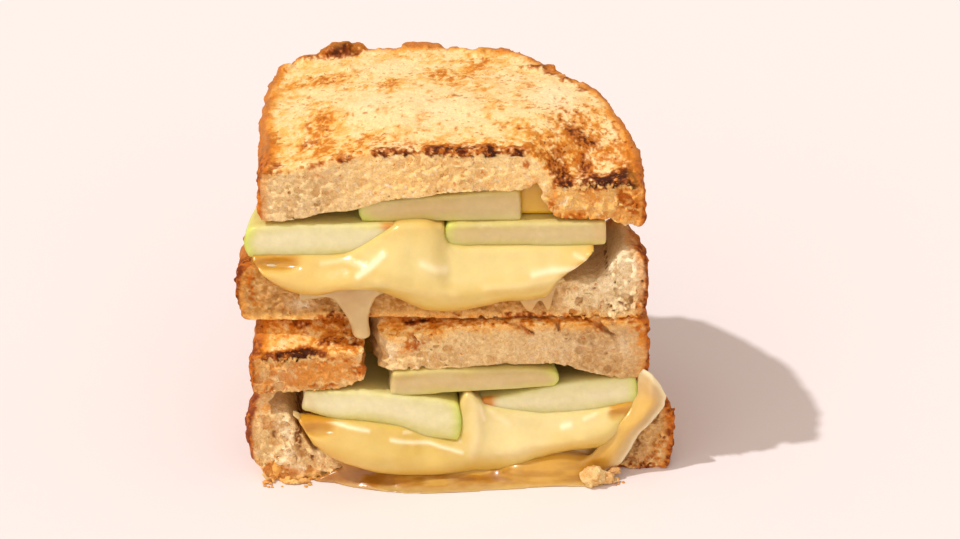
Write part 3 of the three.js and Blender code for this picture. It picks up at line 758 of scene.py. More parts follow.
bread(
    "upper_top_bread", 11, +1,
    rough=lambda x: 0.06 + 0.26 * sm((x - 24) / 6),
    gold=[(-36, 50, 9, 4, 1.0), (-35, 20, 4.2, 12, 0.95), (-35, 6, 7, 5, 0.5), (-21, 7, 7, 3, 0.6), (-18, 41, 4, 4, 0.7), (-5, 50, 5, 4, 0.8), (-0.3, 42, 4, 5, 0.8), (6.8, 55, 5, 6, 0.9), (7, 39, 3, 4, 0.6), (11.6, 24, 3, 4, 0.55), (20, 40, 4, 3, 0.7), (34, 23, 7, 6, 0.3), (28, 9, 7, 7, 0.5), (38, 12, 8, 7, 0.45), (45, 12, 4, 7, 0.6), (22, 6, 5, 5, 0.6), (-26, 40.3, 3, 2, 0.6), (17, 12.5, 3, 2.4, 0.7), (-48, 8, 4, 8, 0.6), (0, 1, 27, 4.6, 0.95), (38, 36, 5, 10, 0.25), (-8, 62, 18, 5, 0.6), (-47, 40, 4, 16, 0.4)],
    specks=[(-36, 50, 9, 5, 0.6), (-33.2, 47.4, 3, 2.4, 0.7), (-29.5, 42, 3, 2, 0.7), (-35, 19, 5, 13, 0.75), (-38, 9, 3, 4, 0.7), (-40, 34, 2, 4, 0.6), (-19, 41, 4, 4, 0.8), (-16, 45, 2, 2, 0.7), (-5, 50, 4, 3, 0.8), (0, 32, 3, 2, 0.6), (1.3, 31, 2, 2, 0.6), (2, 48, 3, 2, 0.7), (12, 24, 2, 4, 0.6), (11, 13.4, 2, 2, 0.8), (17, 12.3, 2, 2, 0.8), (7, 9, 1.6, 3, 0.7), (34, 23, 8, 8, 0.9), (26, 20, 4, 4, 0.6), (28, 8, 8, 8, 0.8), (-21, 7.6, 6, 3.4, 0.8), (-24, 22, 5, 5, 0.35), (-47, 15, 3, 4, 0.7), (-28, 1, 5, 2.4, 0.8), (20, 24, 2, 2, 0.6), (20, 40, 3, 2, 0.5), (42, 12, 8, 9, 0.85), (0, 2, 27, 3.4, 0.6), (-10, 30, 30, 20, 0.10), (0, 10, 30, 5, 0.2), (10, 50, 22, 10, 0.3)],
    char=[(-19.5, 1.0, 2.8, 1.7, 1.05), (-15.6, 0.6, 2.6, 1.3, 0.8), (-12, 0.2, 1.8, 1.8, 1.05), (-5.6, 0.6, 3.6, 1.9, 1.1), (1.2, 0.8, 5.0, 1.8, 1.15), (7.5, 1.1, 3.0, 1.8, 0.9), (10.2, -0.4, 2.2, 3.0, 1.0), (15.2, 0.4, 2.2, 2.0, 0.95), (17.8, -1.0, 1.6, 3.2, 1.0), (31.6, 15.2, 3.2, 3.4, 1.0), (36.0, 13.2, 3.2, 2.0, 1.05), (34.2, 6.0, 2.2, 4.6, 0.95), (26.6, 3.6, 2.8, 4.4, 1.15), (29.0, 0.8, 2.0, 2.2, 1.1), (36.0, -0.2, 4.0, 2.4, 1.15), (42.2, 1.0, 5.4, 2.8, 2.0), (47.0, 1.6, 2.6, 2.6, 1.5), (45.0, 4.2, 3.0, 2.2, 0.8), (41, 20, 3, 4, 0.4), (46.5, 7, 3, 4, 0.6), (-28.6, 0, 2.6, 1.6, 0.8), (-36, -0.4, 3.4, 1.4, 0.7), (-47.6, 1.4, 3.6, 2.4, 0.9), (-32.4, 67.6, 5.0, 3.6, 1.9), (-27.4, 69, 3.6, 2.6, 1.4), (-41.4, 65.4, 3, 2.6, 1.0), (-34, 49, 5, 2.4, 0.45), (-38.2, 10.8, 2.4, 2.0, 0.8), (-38.6, 19.4, 1.4, 2.0, 0.7), (23, 54.4, 4.6, 2.2, 1.1), (30.5, 46, 2, 2.4, 1.0), (27, 50.5, 3, 2.4, 0.9), (34.5, 39, 2, 4, 0.6), (7, 60, 4, 3, 0.5), (-20, 70, 8, 2.4, 0.5)],
    pale=[(27, 32, 8, 11, 0.85), (-5, 22, 12, 12, 0.45), (-23, 28, 5, 7, 0.5), (-20, 56, 9, 5, 0.45), (43, 20, 3, 5, 0.5), (14, 47, 7, 5, 0.35), (-13, 3, 3, 3, 0.4), (41, 9, 4, 2, 0.4)],
    cut_gold=[(26, 83, 2.4, 3.4, 0.8), (30, 77.4, 5, 1.8, 1.0), (36, 83, 4, 3, 0.7), (46, 82, 4, 5, 1.0), (40, 76.5, 8, 1.6, 0.6), (-4, 87.6, 2, 2, 0.4), (20, 87, 2.4, 4, 0.7), (-36, 89.4, 6, 2.4, 0.4), (-6, 93.6, 22, 1.6, 0.35)],
    cut_rust=[(31, 77, 3.4, 1.2, 1.0), (25.6, 86.0, 1.6, 1.6, 1.1), (25.2, 80, 1.2, 2.2, 0.9), (44.6, 82.2, 2.6, 3.4, 1.0), (47, 79.2, 1.8, 3.4, 1.0), (38, 85.6, 3, 1.4, 1.0), (18.4, 92.0, 1.1, 2.6, 1.0), (33, 84.6, 2, 1.2, 0.8)],
    edits=edit_upper_top,
    golden=lambda x, z: 0.10 + 0.50 * sm((x + 40) / 22) + 0.45 * sm((x - 22) / 4),
    pores=1.15,
    crust_tone=0.15,
    shade=lambda x, z: 0.22 * (1 - sm((x + 34) / 16)) + 0.12 * sm((x - 22) / 4) + 0.07,
)
bread(
    "upper_base_bread", 23, -1,
    rough=lambda x: 0.16 + 0.95 * sm((x - 25) / 8),
    gold=[(0, 30, 60, 50, 0.5)],
    specks=[(0, 30, 60, 50, 0.5)],
    char=[(-30, 1, 9, 3, 0.8), (20, 1, 12, 3, 0.7)],
    cut_pale=[(36, 63.5, 5, 5, 1.0), (45, 63, 6, 7, 1.0), (40, 55, 8, 6, 0.7), (-41, 51.5, 3.5, 1.8, 0.6)],
    cut_gold=[(-52, 54, 3, 6, 0.35), (-46, 50, 4, 2, 0.4)],
    cut_shade=[(40.5, 60.5, 1.2, 1.4, 0.7), (46.6, 57.5, 1.3, 1.2, 0.7), (37.0, 56.0, 1.4, 1.1, 0.7), (43.5, 52.0, 1.8, 1.0, 0.7), (32.5, 52.6, 1.6, 0.9, 0.6), (-42, 48.2, 4, 0.9, 0.7)],
    cut_rust=[(-40, 47.6, 6, 0.9, 0.9), (-54, 56, 2, 8, 0.6), (49, 50, 2, 5, 0.6)],
    golden=lambda x, z: 0.55 - 0.45 * sm((x - 22) / 8),
    torn_hollow_shade=0.20,
    slice_shade=0.14,
    crust_tone=0.45,
    rim=(2.0, 3.0),
    shade=lambda x, z: 0.68 * (1 - sm((x - 22) / 10)) + 0.12,
)
bread(
    "lower_top_bread", 37, +1,
    rough=lambda x: 0.08 + 0.30 * sm((-20 - x) / 3),
    gold=[(-38, 10, 16, 8, 0.55), (-36, 12.6, 20, 3.4, 0.6), (-30, 6, 6, 5, 0.3), (-8, 6, 8, 5, 0.7), (25, 2, 24, 6, 0.7), (50, 4, 6, 9, 0.8)],
    specks=[(-40, 8, 16, 8, 0.45), (-27, 4, 6, 9, 0.7), (10, 2, 40, 6, 0.8)],
    char=[(-44.0, 0.4, 4.2, 1.5, 1.1), (-40.2, 0.2, 2.8, 2.2, 1.9), (-36.4, 0.4, 3.0, 1.2, 0.9), (-50, 0.4, 5.0, 1.2, 0.9), (-40.4, 9.4, 2.6, 1.8, 0.95), (-32.6, 4.6, 3.2, 1.6, 0.95), (-35.2, 3.6, 1.8, 1.0, 0.8), (-26.2, 3.4, 2.2, 1.6, 1.15), (-47, 12.5, 7, 2.4, 0.8), (-33, 13.5, 8, 2.4, 0.8), (-11.7, 5.2, 1.9, 1.6, 1.5), (-7.7, 4.9, 1.8, 1.0, 1.3), (10, 1.6, 9, 1.8, 0.3), (34, 1.8, 6, 2.0, 0.45), (47, 2, 4, 2.0, 0.7)],
    cut_gold=[(-34, 33.8, 10, 5.4, 1.1), (-42, 31, 5, 2.4, 0.6), (-48, 36, 4, 3, 0.5), (-50.6, 30, 2, 3, 0.6), (-13.6, 41, 2.6, 4.0, 0.8), (-19, 39, 1.5, 5, 0.4), (20, 45, 30, 1.8, 0.7), (49, 40, 3, 6, 0.7)],
    cut_rust=[(16.4, 45.6, 3.0, 1.4, 1.3), (20, 43.6, 1.6, 1.2, 0.9), (27.2, 45.4, 1.2, 1.8, 1.2), (38.6, 44.8, 3.0, 1.8, 1.3), (-9.6, 41, 2.4, 2.4, 0.9), (6, 45, 2.5, 1.2, 0.8), (49.6, 43, 2, 3, 0.9), (-25.2, 33.8, 2.4, 1.8, 1.6), (-28.6, 37.4, 1.8, 1.4, 0.9), (-34, 37.4, 5, 1.0, 0.9), (-36, 29.4, 6, 1.0, 0.8), (-12.4, 42.6, 1.9, 2.4, 1.1), (-15.6, 36.5, 1.0, 1.0, 0.8), (-50, 28.6, 2.4, 1.4, 0.9)],
    cut_pale=[(-45, 32.0, 3.4, 3.0, 0.5), (-17, 41, 2.0, 3.6, 0.7), (30, 38, 12, 4, 0.35), (46, 38, 4, 6, 0.35)],
    edits=edit_lower_top,
    golden=lambda x, z: 0.25 + 0.35 * sm((-19 - x) / 2) + 0.15 * sm((z - 41) / 4),
    pores=1.2,
    slice_shade=0.06,
    crust_tone=0.3,
    shade=lambda x, z: 0.22 + 0.14 * sm((x + 10) / 30) + 0.22 * sm((x - 24) / 14) + 0.16 * sm((-24 - x) / 6),
)
bread(
    "lower_base_bread", 53, -1,
    rough=lambda x: 0.12 + 0.85 * sm((-33 - x) / 6) * sm((x + 55) / 4) + 0.35 * sm((x - 42) / 6),
    gold=[(0, 30, 60, 50, 0.5)],
    specks=[(0, 30, 60, 50, 0.5)],
    char=[(50, 1, 8, 4, 0.9)],
    cut_gold=[(-50, 4, 3, 3, 0.9), (-45.5, 2.5, 4, 1.6, 0.9), (-50.6, 20, 2, 8, 0.6), (-40, 2.5, 5, 1.4, 0.5), (55, 6, 3, 6, 0.6)],
    cut_rust=[(-51.5, 26, 3, 2.2, 1.2), (-42.6, 12, 1.4, 1.4, 0.8), (52, 3, 5, 1.4, 0.9), (-43.6, 25, 2.4, 2.6, 1.0)],
    cut_pale=[(-45.6, 7.6, 2.6, 2.2, 1.3), (-44.8, 14, 1.2, 4, 0.9), (-46.6, 18, 2, 4, 0.6), (-42.4, 3.2, 1.8, 1.6, 1.2), (-37, 8.6, 2, 2, 0.6)],
    cut_shade=[(-42.3, 13.5, 1.3, 4.4, 1.0), (-40.8, 22.5, 2.0, 2.2, 0.9), (-34.7, 1.2, 4.0, 1.2, 1.0), (-46.5, 22, 1.2, 1.4, 0.35), (-39, 6.5, 1.0, 1.4, 0.8), (-49, 14, 1.0, 2.6, 0.6), (49.5, 8, 1.6, 2.0, 0.7), (46, 2.4, 3.0, 1.2, 0.7)],
    edits=edit_lower_base,
    golden=lambda x, z: 0.30 + 0.0 * x,
    torn_hollow_shade=0.25,
    slice_shade=0.14,
    crust_tone=0.4,
    shade=lambda x, z: 0.16 + 0.40 * sm((x - 40) / 6),
    maroon=lambda x, z: 0.95 * sm((-49 - x) / 2) * bell(z, 16, 10),
    crust_depth=2.3,
)

# ---------- apple ----------
FLESH = srgb(224, 217, 164)
FLESH_GREEN = srgb(206, 196, 92)
SKIN = srgb(172, 194, 60)
APPLE_TIP = srgb(214, 138, 52)
MIDDLE_TOP = [(-25.4, 80.2), (-20, 82.0), (-14, 83.2), (-4, 83.9), (17.2, 84.4)]
APPLES = {
    "upper_apple_left": dict(x0=-55.4, x1=-14.8, under=(65.4, 66.0), over=(74.0, 74.9), depth=50, skin="left", out=0.4, turn=0, tip=0.9, shade=0.02,
        over_pts=[(-56, 73.2), (-52, 74.8), (-40, 75.2), (-14, 75.4)]),
    "upper_apple_right": dict(x0=-3.0, x1=39.6, under=(67.0, 67.2), over=(75.1, 75.6), depth=52, skin="left", out=0.0, turn=0, tip=0.15, shade=0.46,
        under_pts=[(-3, 67.6), (0, 68.2), (34, 68.4), (40, 68.8)]),
    "upper_apple_middle": dict(x0=-25.4, x1=17.2, under=(75.0, 75.2), over=(81.2, 84.2), depth=44, skin="left", out=-1.5, turn=0, tip=0.0, shade=0.60, whole=True,
        over_pts=MIDDLE_TOP),
    "lower_apple_left": dict(x0=-41.0, x1=1.8, under=(18.6, 12.4), over=(26.6, 23.4), depth=50, skin="right", out=2.4, turn=-4, tip=0.1, shade=0.0,
        over_pts=[(-41, 27.6), (-23, 27.4), (-5, 24.8), (2, 22.8)], under_pts=[(-41, 21.6), (-33, 18.6), (-23, 17.8), (-14, 15.8), (-8, 13.0), (2, 11.8)]),
    "lower_apple_right": dict(x0=5.6, x1=49.6, under=(15.2, 19.0), over=(23.3, 27.0), depth=50, skin="right", out=0.2, turn=0, tip=1.4, shade=0.05,
        over_pts=[(5.6, 23.2), (11.4, 24.0), (19.7, 25.8), (30.6, 27.9), (39.5, 28.5), (50, 28.3)], under_pts=[(5.6, 21.4), (9, 20.6), (15, 18.6), (24, 16.8), (31, 16.8), (40, 17.8), (50, 19.6)]),
    "lower_apple_middle": dict(x0=-17.2, x1=28.0, under=(25.6, 26.9), over=(33.0, 31.5), depth=44, skin="right", out=0.8, turn=0, tip=0.0, shade=0.62,
        over_pts=[(-17.2, 33.0), (-5, 33.5), (20, 32.8), (28, 31.6)]),
}


def apple(name, seed):
    s = APPLES[name]
    half = name.split("_")[0]
    step = RES * 1.45
    heights = list(s["under"]) + list(s["over"]) + [p[1] for p in s.get("under_pts", []) + s.get("over_pts", [])]
    xs = axis(s["x0"] - 1.5, s["x1"] + 1.5, step)
    ys = axis(-1.8, s["depth"] + 1.5, step, 3.0, 1.3)
    zs = axis(min(heights) - 1.5, max(heights) + 1.5, step)
    axes = [xs, ys, zs]
    width = s["x1"] - s["x0"]

    def faces(x, y):
        t = np.clip((x - s["x0"]) / width, 0, 1)
        under = mix(s["under"][0], s["under"][1], t)
        over = mix(s["over"][0], s["over"][1], t)
        back = sm(y / 16) if not s.get("whole") else 1.0
        if "under_pts" in s:
            under = mix(curve(x, s["under_pts"], 1.0), under, back)
        if "over_pts" in s:
            over = mix(curve(x, s["over_pts"], 1.0), over, back)
        return under, over

    x, y, z = np.meshgrid(xs, ys, zs, indexing="ij")
    under, over = faces(x, y)
    w = (z - under) / (over - under)
    from_core = (s["x1"] - x) if s["skin"] == "left" else (x - s["x0"])
    round_ = 1 - 0.030 * (2 * np.clip(w, 0, 1) - 1) ** 2  # the skin side curves up and down a little
    q = np.sqrt((np.maximum(from_core, 0) / width) ** 2 + (np.maximum(y, 0) / s["depth"]) ** 2) + 1e-6
    slope = np.sqrt((from_core / width**2) ** 2 + (np.maximum(y, 0) / s["depth"] ** 2) ** 2) / q + 1e-6
    arc = (q - round_) / slope
    n_big = grid_noise(axes, 11.0, seed)
    n_mid = grid_noise(axes, 4.0, seed + 1)
    n_fine = grid_noise(axes, (2.6, 2.6, 1.0), seed + 2)
    core = -from_core + 0.5 * n_mid + 0.6 * (w - 0.5)
    f = smax(arc, core, 0.5)
    f = smax(f, z - over - 0.22 * n_big, 0.6)
    f = smax(f, under - z - 0.22 * n_big, 0.6)
    f = smax(f, -y + 0.35 * n_big + 0.14 * n_mid + 0.10 * n_fine, 0.55)
    verts, quads = skin(f, axes)
    verts = relax(verts, quads, 3, 0.5)
    x, y, z = verts.T
    from_core = (s["x1"] - x) if s["skin"] == "left" else (x - s["x0"])
    q = np.sqrt((np.maximum(from_core, 0) / width) ** 2 + (np.maximum(y, 0) / s["depth"]) ** 2) + 1e-6
    slope = np.sqrt((from_core / width**2) ** 2 + (np.maximum(y, 0) / s["depth"] ** 2) ** 2) / q + 1e-6
    in_skin = (1 - q) / slope
    under, over = faces(x, y)
    w = (z - under) / (over - under)
    n1 = point_fbm(verts, (14.0, 10.0, 3.0), seed + 5, 3)
    n2 = point_fbm(verts, (5.0, 5.0, 0.9), seed + 6, 2)
    n3 = point_fbm(verts, (9.0, 6.0, 2.0), seed + 7, 2)
    n4 = point_fbm(verts, (9.0, 9.0, 5.0), seed + 9, 3)
    n5 = point_fbm(verts, (0.9, 2.0, 0.5), seed + 10, 2)
    edge = 0.75 * sm((0.40 - w + 0.2 * n4) / 0.36) + 0.45 * sm((w - 0.84 + 0.1 * n4) / 0.14)
    colour = np.tile(FLESH, (len(x), 1))
    # painted shade on the slabs that lie in shade under the bread
    colour = lay(colour, srgb(186, 146, 70), 1.0 * s["shade"] * (1.0 - 0.55 * edge) * (1 + 0.5 * n4))
    colour = lay(colour, FLESH_GREEN, (1 - 0.4 * s["shade"]) * (0.78 * edge + 0.25 * sm((12 + 6 * n1 - in_skin) / 12)) + 0.22 * n4)
    # painted light: a whiter band across the middle of a lit slab's face, left off the shaded slabs
    painted_glow = bell(w + 0.12 * n3, 0.55, 0.24) * (0.75 + 0.7 * n4) * max(0.0, 1 - 1.9 * s["shade"])
    colour = lay(colour, srgb(240, 232, 200), 0.60 * painted_glow + 0.25 * sm(n5 + 0.1) * (1 - edge) * (1 - s["shade"]))
    colour = lay(colour, srgb(204, 212, 96), 0.8 * sm((4.6 + 1.4 * n1 - in_skin) / 4.0))
    colour = lay(colour, SKIN, 0.9 * sm((1.2 + 0.3 * n1 - in_skin) / 0.9))
    # painted light: a lighter beige middle on the shaded slabs
    colour = lay(colour, srgb(224, 198, 152), 0.75 * s["shade"] * bell(w + 0.15 * n3, 0.52, 0.22) * (0.8 + 0.6 * n4))
    # painted light: the top faces seen in the gaps are tinted golden, as by warm bounce light
    colour = lay(colour, srgb(222, 202, 108), 0.5 * sm((w - 0.965) / 0.03) * sm((y - 0.5) / 1.5))
    colour = lay(colour, APPLE_TIP, s["tip"] * sm((5.5 + 3 * n1 - from_core) / 3.5) * sm((2.5 - y) / 1.5))
    a = math.radians(s["turn"])
    pivot = s["x0"] if s["turn"] > 0 else s["x1"]
    xr = (x - pivot) * math.cos(a) - y * math.sin(a) + pivot
    yr = (x - pivot) * math.sin(a) + y * math.cos(a) - s["out"]
    return make_piece(name + ".slab", half, np.stack([xr, yr, z], 1), quads, colour, {"skin": sm((1.2 - in_skin) / 0.8)}, MATERIALS["apple"], (name,))


# ---------- cheese ----------
YELLOW = srgb(219, 186, 90)
DEEP_YELLOW_AND_SHADE = srgb(206, 148, 34)
YELLOW_PALE = srgb(226, 206, 136)
YELLOW_RIM = srgb(218, 170, 66)
WHITE = srgb(210, 182, 126)
WHITE_DEEP = srgb(176, 122, 58)
FILM_AMBER_AND_SHADE = srgb(176, 118, 20)
GLINT = srgb(252, 238, 200)


def curve(x, points, soften=1.2):
    px, pz = zip(*points)
    return sum(np.interp(x + d, px, pz) for d in (-soften, 0, soften)) / 3


def line_distance(x, z, points):
    """Distance in the front plane from a line through the points."""
    best = np.full(np.broadcast(x, z).shape, 1e9, np.float32)
    for (ax, az), (bx, bz) in zip(points[:-1], points[1:]):
        t = np.clip(((x - ax) * (bx - ax) + (z - az) * (bz - az)) / ((bx - ax) ** 2 + (bz - az) ** 2), 0, 1)
        best = np.minimum(best, np.hypot(x - ax - t * (bx - ax), z - az - t * (bz - az)))
    return best


def inside_slice(name, gx, gy, inset, x0, x1):
    """How far a point in plan is outside a slice's outline drawn in by inset. Negative is inside."""
    s = dict(SLICES[name], x0=x0, x1=x1, depth=SLICES[name]["depth"] - inset)
    s.pop("dent", None)
    middle = (x0 + x1) / 2
    ang = np.arctan2(np.maximum(gy, 1e-4), gx - middle)
    return np.hypot(gx - middle, np.maximum(gy, 0)) - outline_radius(ang, s)


# Folds down the cheese fronts: (points of the fold line, width, how far it stands out, strength of a painted highlight
# along it)
U_FOLDS = [([(-25.5, 63.4), (-22.0, 65.8), (-18.6, 68.8)], 0.9, 0.55, 0.9), ([(-35, 65.0), (-29, 65.9), (-25, 65.6)], 0.7, 0.3, 0.35), ([(-8.6, 66.6), (-5.4, 65.2), (-2.6, 64.4)], 1.2, 0.4, 0.6), ([(20.5, 63.0), (26, 64.0), (32, 64.2)], 1.0, 0.45, 0.8), ([(8, 60), (18, 60.5), (27, 62.0)], 1.2, 0.5, 0.2), ([(-20, 62), (-10, 59.5), (0, 58.5)], 1.6, 0.5, 0.1), ([(31.5, 67.4), (34.5, 66.4)], 0.7, 0.4, 0.5)]
L_FOLDS = [([(-34.5, 19.8), (-29, 18.2), (-23.6, 17.0)], 0.6, 0.35, 0.95), ([(-17.5, 14.2), (-12, 12.9), (-7, 12.2), (-3, 10.8), (1.4, 9.2)], 0.6, 0.4, 0.9), ([(-14, 15.6), (-6, 14.6), (1.0, 12.0)], 0.5, 0.3, 0.6), ([(6.6, 24.0), (6.9, 21.0), (7.6, 18.6)], 0.6, 0.35, 0.6), ([(8.6, 22.6), (10.5, 19.5), (14, 17.5)], 1.0, 0.45, 0.25), ([(28.6, 16.2), (30.6, 16.6)], 0.8, 0.3, 1.0), ([(34.6, 17.8), (37.0, 18.6), (39.8, 20.6)], 0.7, 0.35, 0.6), ([(12, 10), (22, 12.6), (34, 14)], 2.0, 0.5, 0.1), ([(4, 8), (6, 16), (5.4, 23)], 1.5, 0.5, 0.2)]
U_YELLOW_LOW = [(-57, 69), (-53.6, 66.4), (-52.4, 63.4), (-50.7, 60.6), (-48.1, 58.4), (-44.8, 56.4), (-40.9, 55.0), (-36.1, 54.9), (-32.9, 55.8), (-30.3, 56.6), (-27.1, 56.8), (-21.9, 56.5), (-18.5, 55.6), (-14.5, 53.8), (-11.4, 52.0), (-8.0, 50.6), (-4.0, 50.3), (2.3, 50.6), (7.4, 51.8), (11.9, 53.0), (14.8, 53.4), (18.0, 53.2), (21.6, 53.4), (24.6, 54.0), (26.4, 57.6), (28.4, 60.2), (31.0, 62.2), (34.1, 64.6), (36.4, 68.0), (40, 71)]
U_YELLOW_HIGH = [(-57, 66.4), (-33, 66.4), (-29, 67.0), (-26, 68.4), (-23, 70.4), (-20.4, 72.2), (-17.5, 74.3), (-14.5, 75.8), (-11, 76.2), (-7.5, 76.2), (-5.2, 75.2), (-3.6, 72.0), (-2.2, 69.6), (2, 68.9), (10, 68.8), (33, 68.9), (40, 69.2)]


def upper_yellow():
    seed = 201
    step = RES * 1.3
    xs = axis(-57, 42, step)
    ys = axis(-9.0, 62, step, 2.5, 2.4, 1.2)
    zs = axis(45.5, 86.5, step)
    axes = [xs, ys, zs]
    x, y, z = np.meshgrid(xs, ys, zs, indexing="ij")
    gx, gy = x[:, :, 0], y[:, :, 0]
    n_big = grid_noise(axes, (17.0, 9.0, 14.0), seed)
    n_fold = grid_noise(axes, (6.5, 9.0, 19.0), seed + 1)
    n_small = grid_noise(axes, (3.4, 3.4, 4.6), seed + 2)
    low = curve(gx, U_YELLOW_LOW, 0.6)[:, :, None]
    high = curve(gx, U_YELLOW_HIGH, 1.0)[:, :, None]
    w = np.clip((z - low) / np.maximum(high - low, 0.5), 0, 1)
    belly = (2.6 + 2.5 * (1 - sm((np.abs(gx + 7.3) - 24) / 20)) + 1.2 * bell(gx, 2, 13))[:, :, None]
    top_lip = (1.0 + 0.9 * bell(gx, -22, 9) + 0.8 * bell(gx, -9, 7))[:, :, None]
    shape = np.where(w < 0.38, np.sin(np.pi / 2 * (0.28 + 0.72 * w / 0.38)), 1 - sm((w - 0.38) / 0.62))
    face = -(top_lip * sm(w * 3) + belly * (0.05 + 0.95 * shape)) - 0.55 * n_big - 0.40 * n_fold * sm(1.4 - w) - 0.12 * n_small
    for points, width, rise, _ in U_FOLDS:
        face = face - rise * np.exp(-((line_distance(x[:, :1, :], z[:, :1, :], points) / width) ** 2))
    drape = smax(face - y, low - z, 2.0)
    drape = smax(drape, z - high, 1.6)
    drape = smax(drape, y - 2.0, 0.5)
    base = (up_base_over(gx, np.maximum(gy, 0)) + 1.9)[:, :, None]
    top = (mix(66.2, 67.6, sm((gx + 15) / 10)) + 4.5 * sm((gy - 38) / 10))[:, :, None]
    plan = inside_slice("upper_base_bread", gx, gy, 5.0, -53.6, 38.0)[:, :, None]
    sheet = smax(smax(z - top - 0.5 * n_big, base - z - 0.3, 0.8), plan - 1.2 * n_fold, 1.5)
    sheet = smax(sheet, -y - 0.6, 0.8)
    sheet = smax(sheet, x - 33.0 + 0.6 * (66 - z), 1.0)
    ridge = smax(smax(np.abs(x + 9.2 - 0.05 * y) - 6.6, z - 75.4 - 0.5 * n_big, 2.0), np.abs(y - 20.5) - 21.0, 1.2)
    ridge = smax(ridge, 64 - z, 0.5)
    f = smin(drape, sheet, 1.2)
    f = smin(f, ridge, 1.6)
    ceiling = up_top_under(gx, np.maximum(gy, 0))[:, :, None] + 0.3
    back = smax(smax((np.abs(y - 35.0 - 0.6 * n_big) - 2.4 - 1.5 * np.clip(ceiling - z - 2.0, 0, 9)) * 0.6, smax(z - ceiling, base - z, 0.5), 1.0), smax(plan + 1.0, x - 38.0, 1.0), 1.0)
    f = smin(f, smax(back, -50.0 - x, 1.0), 1.5)
    patch = smax(smax(np.abs(x - 21.6) - 5.4, 4.2 + 0.32 * (z - 75.7) - y - 0.5 * n_big, 1.5), smax(y - 15, z - 84.8, 1.0), 1.0)
    f = smin(f, smax(patch, 75.7 - z, 0.5), 0.8)
    # a hollow under the left end of the left apple slab
    hollow = np.sqrt(((x + 46.8) / 6.6) ** 2 + ((y + 2.6) / 2.5) ** 2 + ((z - 64.6) / 1.9) ** 2) - 1
    f = smax(f, -hollow * 2.0, 0.7)
    verts, quads = skin(f, axes)
    verts = relax(verts, quads, 3, 0.5)
    x, y, z = verts.T
    n1 = point_fbm(verts, (15.0, 8.0, 6.0), seed + 5, 3)
    n2 = point_fbm(verts, (4.0, 4.0, 3.0), seed + 6, 2)
    low = curve(x, U_YELLOW_LOW, 0.6)
    colour = np.tile(YELLOW, (len(x), 1))
    colour = lay(colour, YELLOW_PALE, 0.40 + 0.45 * n1 + 0.15 * n2 + 0.35 * bell(z, 68, 5) * sm((x + 34) / 12) + 0.3 * sm((z - low - 6) / 6) * sm((x + 20) / 8))
    colour = lay(colour, YELLOW_RIM, 0.65 * sm((4.6 - (z - low)) / 3.8) + 0.30 * sm((-22 - x) / 8))
    # painted shade: deeper ochre in the hollow under the left slab and on cheese set back under the apples
    colour = lay(colour, DEEP_YELLOW_AND_SHADE, 0.95 * sm((y + 2.4) / 1.2) * sm((z - 61.5) / 1.5) * sm((-39 - x) / 4) + 0.5 * sm((y + 0.8) / 2.0))
    # painted shade: the cheese seen in the window between the middle slab and the chunk is a deeper yellow
    colour = lay(colour, srgb(228, 180, 36), 1.0 * sm((z - 74) / 2) * sm((x - 10) / 3))
    # painted highlight along each fold
    for points, width, _, amount in U_FOLDS:
        colour = lay(colour, GLINT, amount * np.exp(-((line_distance(x, z, points) / (0.8 * width)) ** 2)) * sm((-y - 1.2) / 0.8))
    make_piece("upper_yellow_cheese.melt", "upper", verts, quads, colour, {}, MATERIALS["yellow"], ("upper_yellow_cheese",))


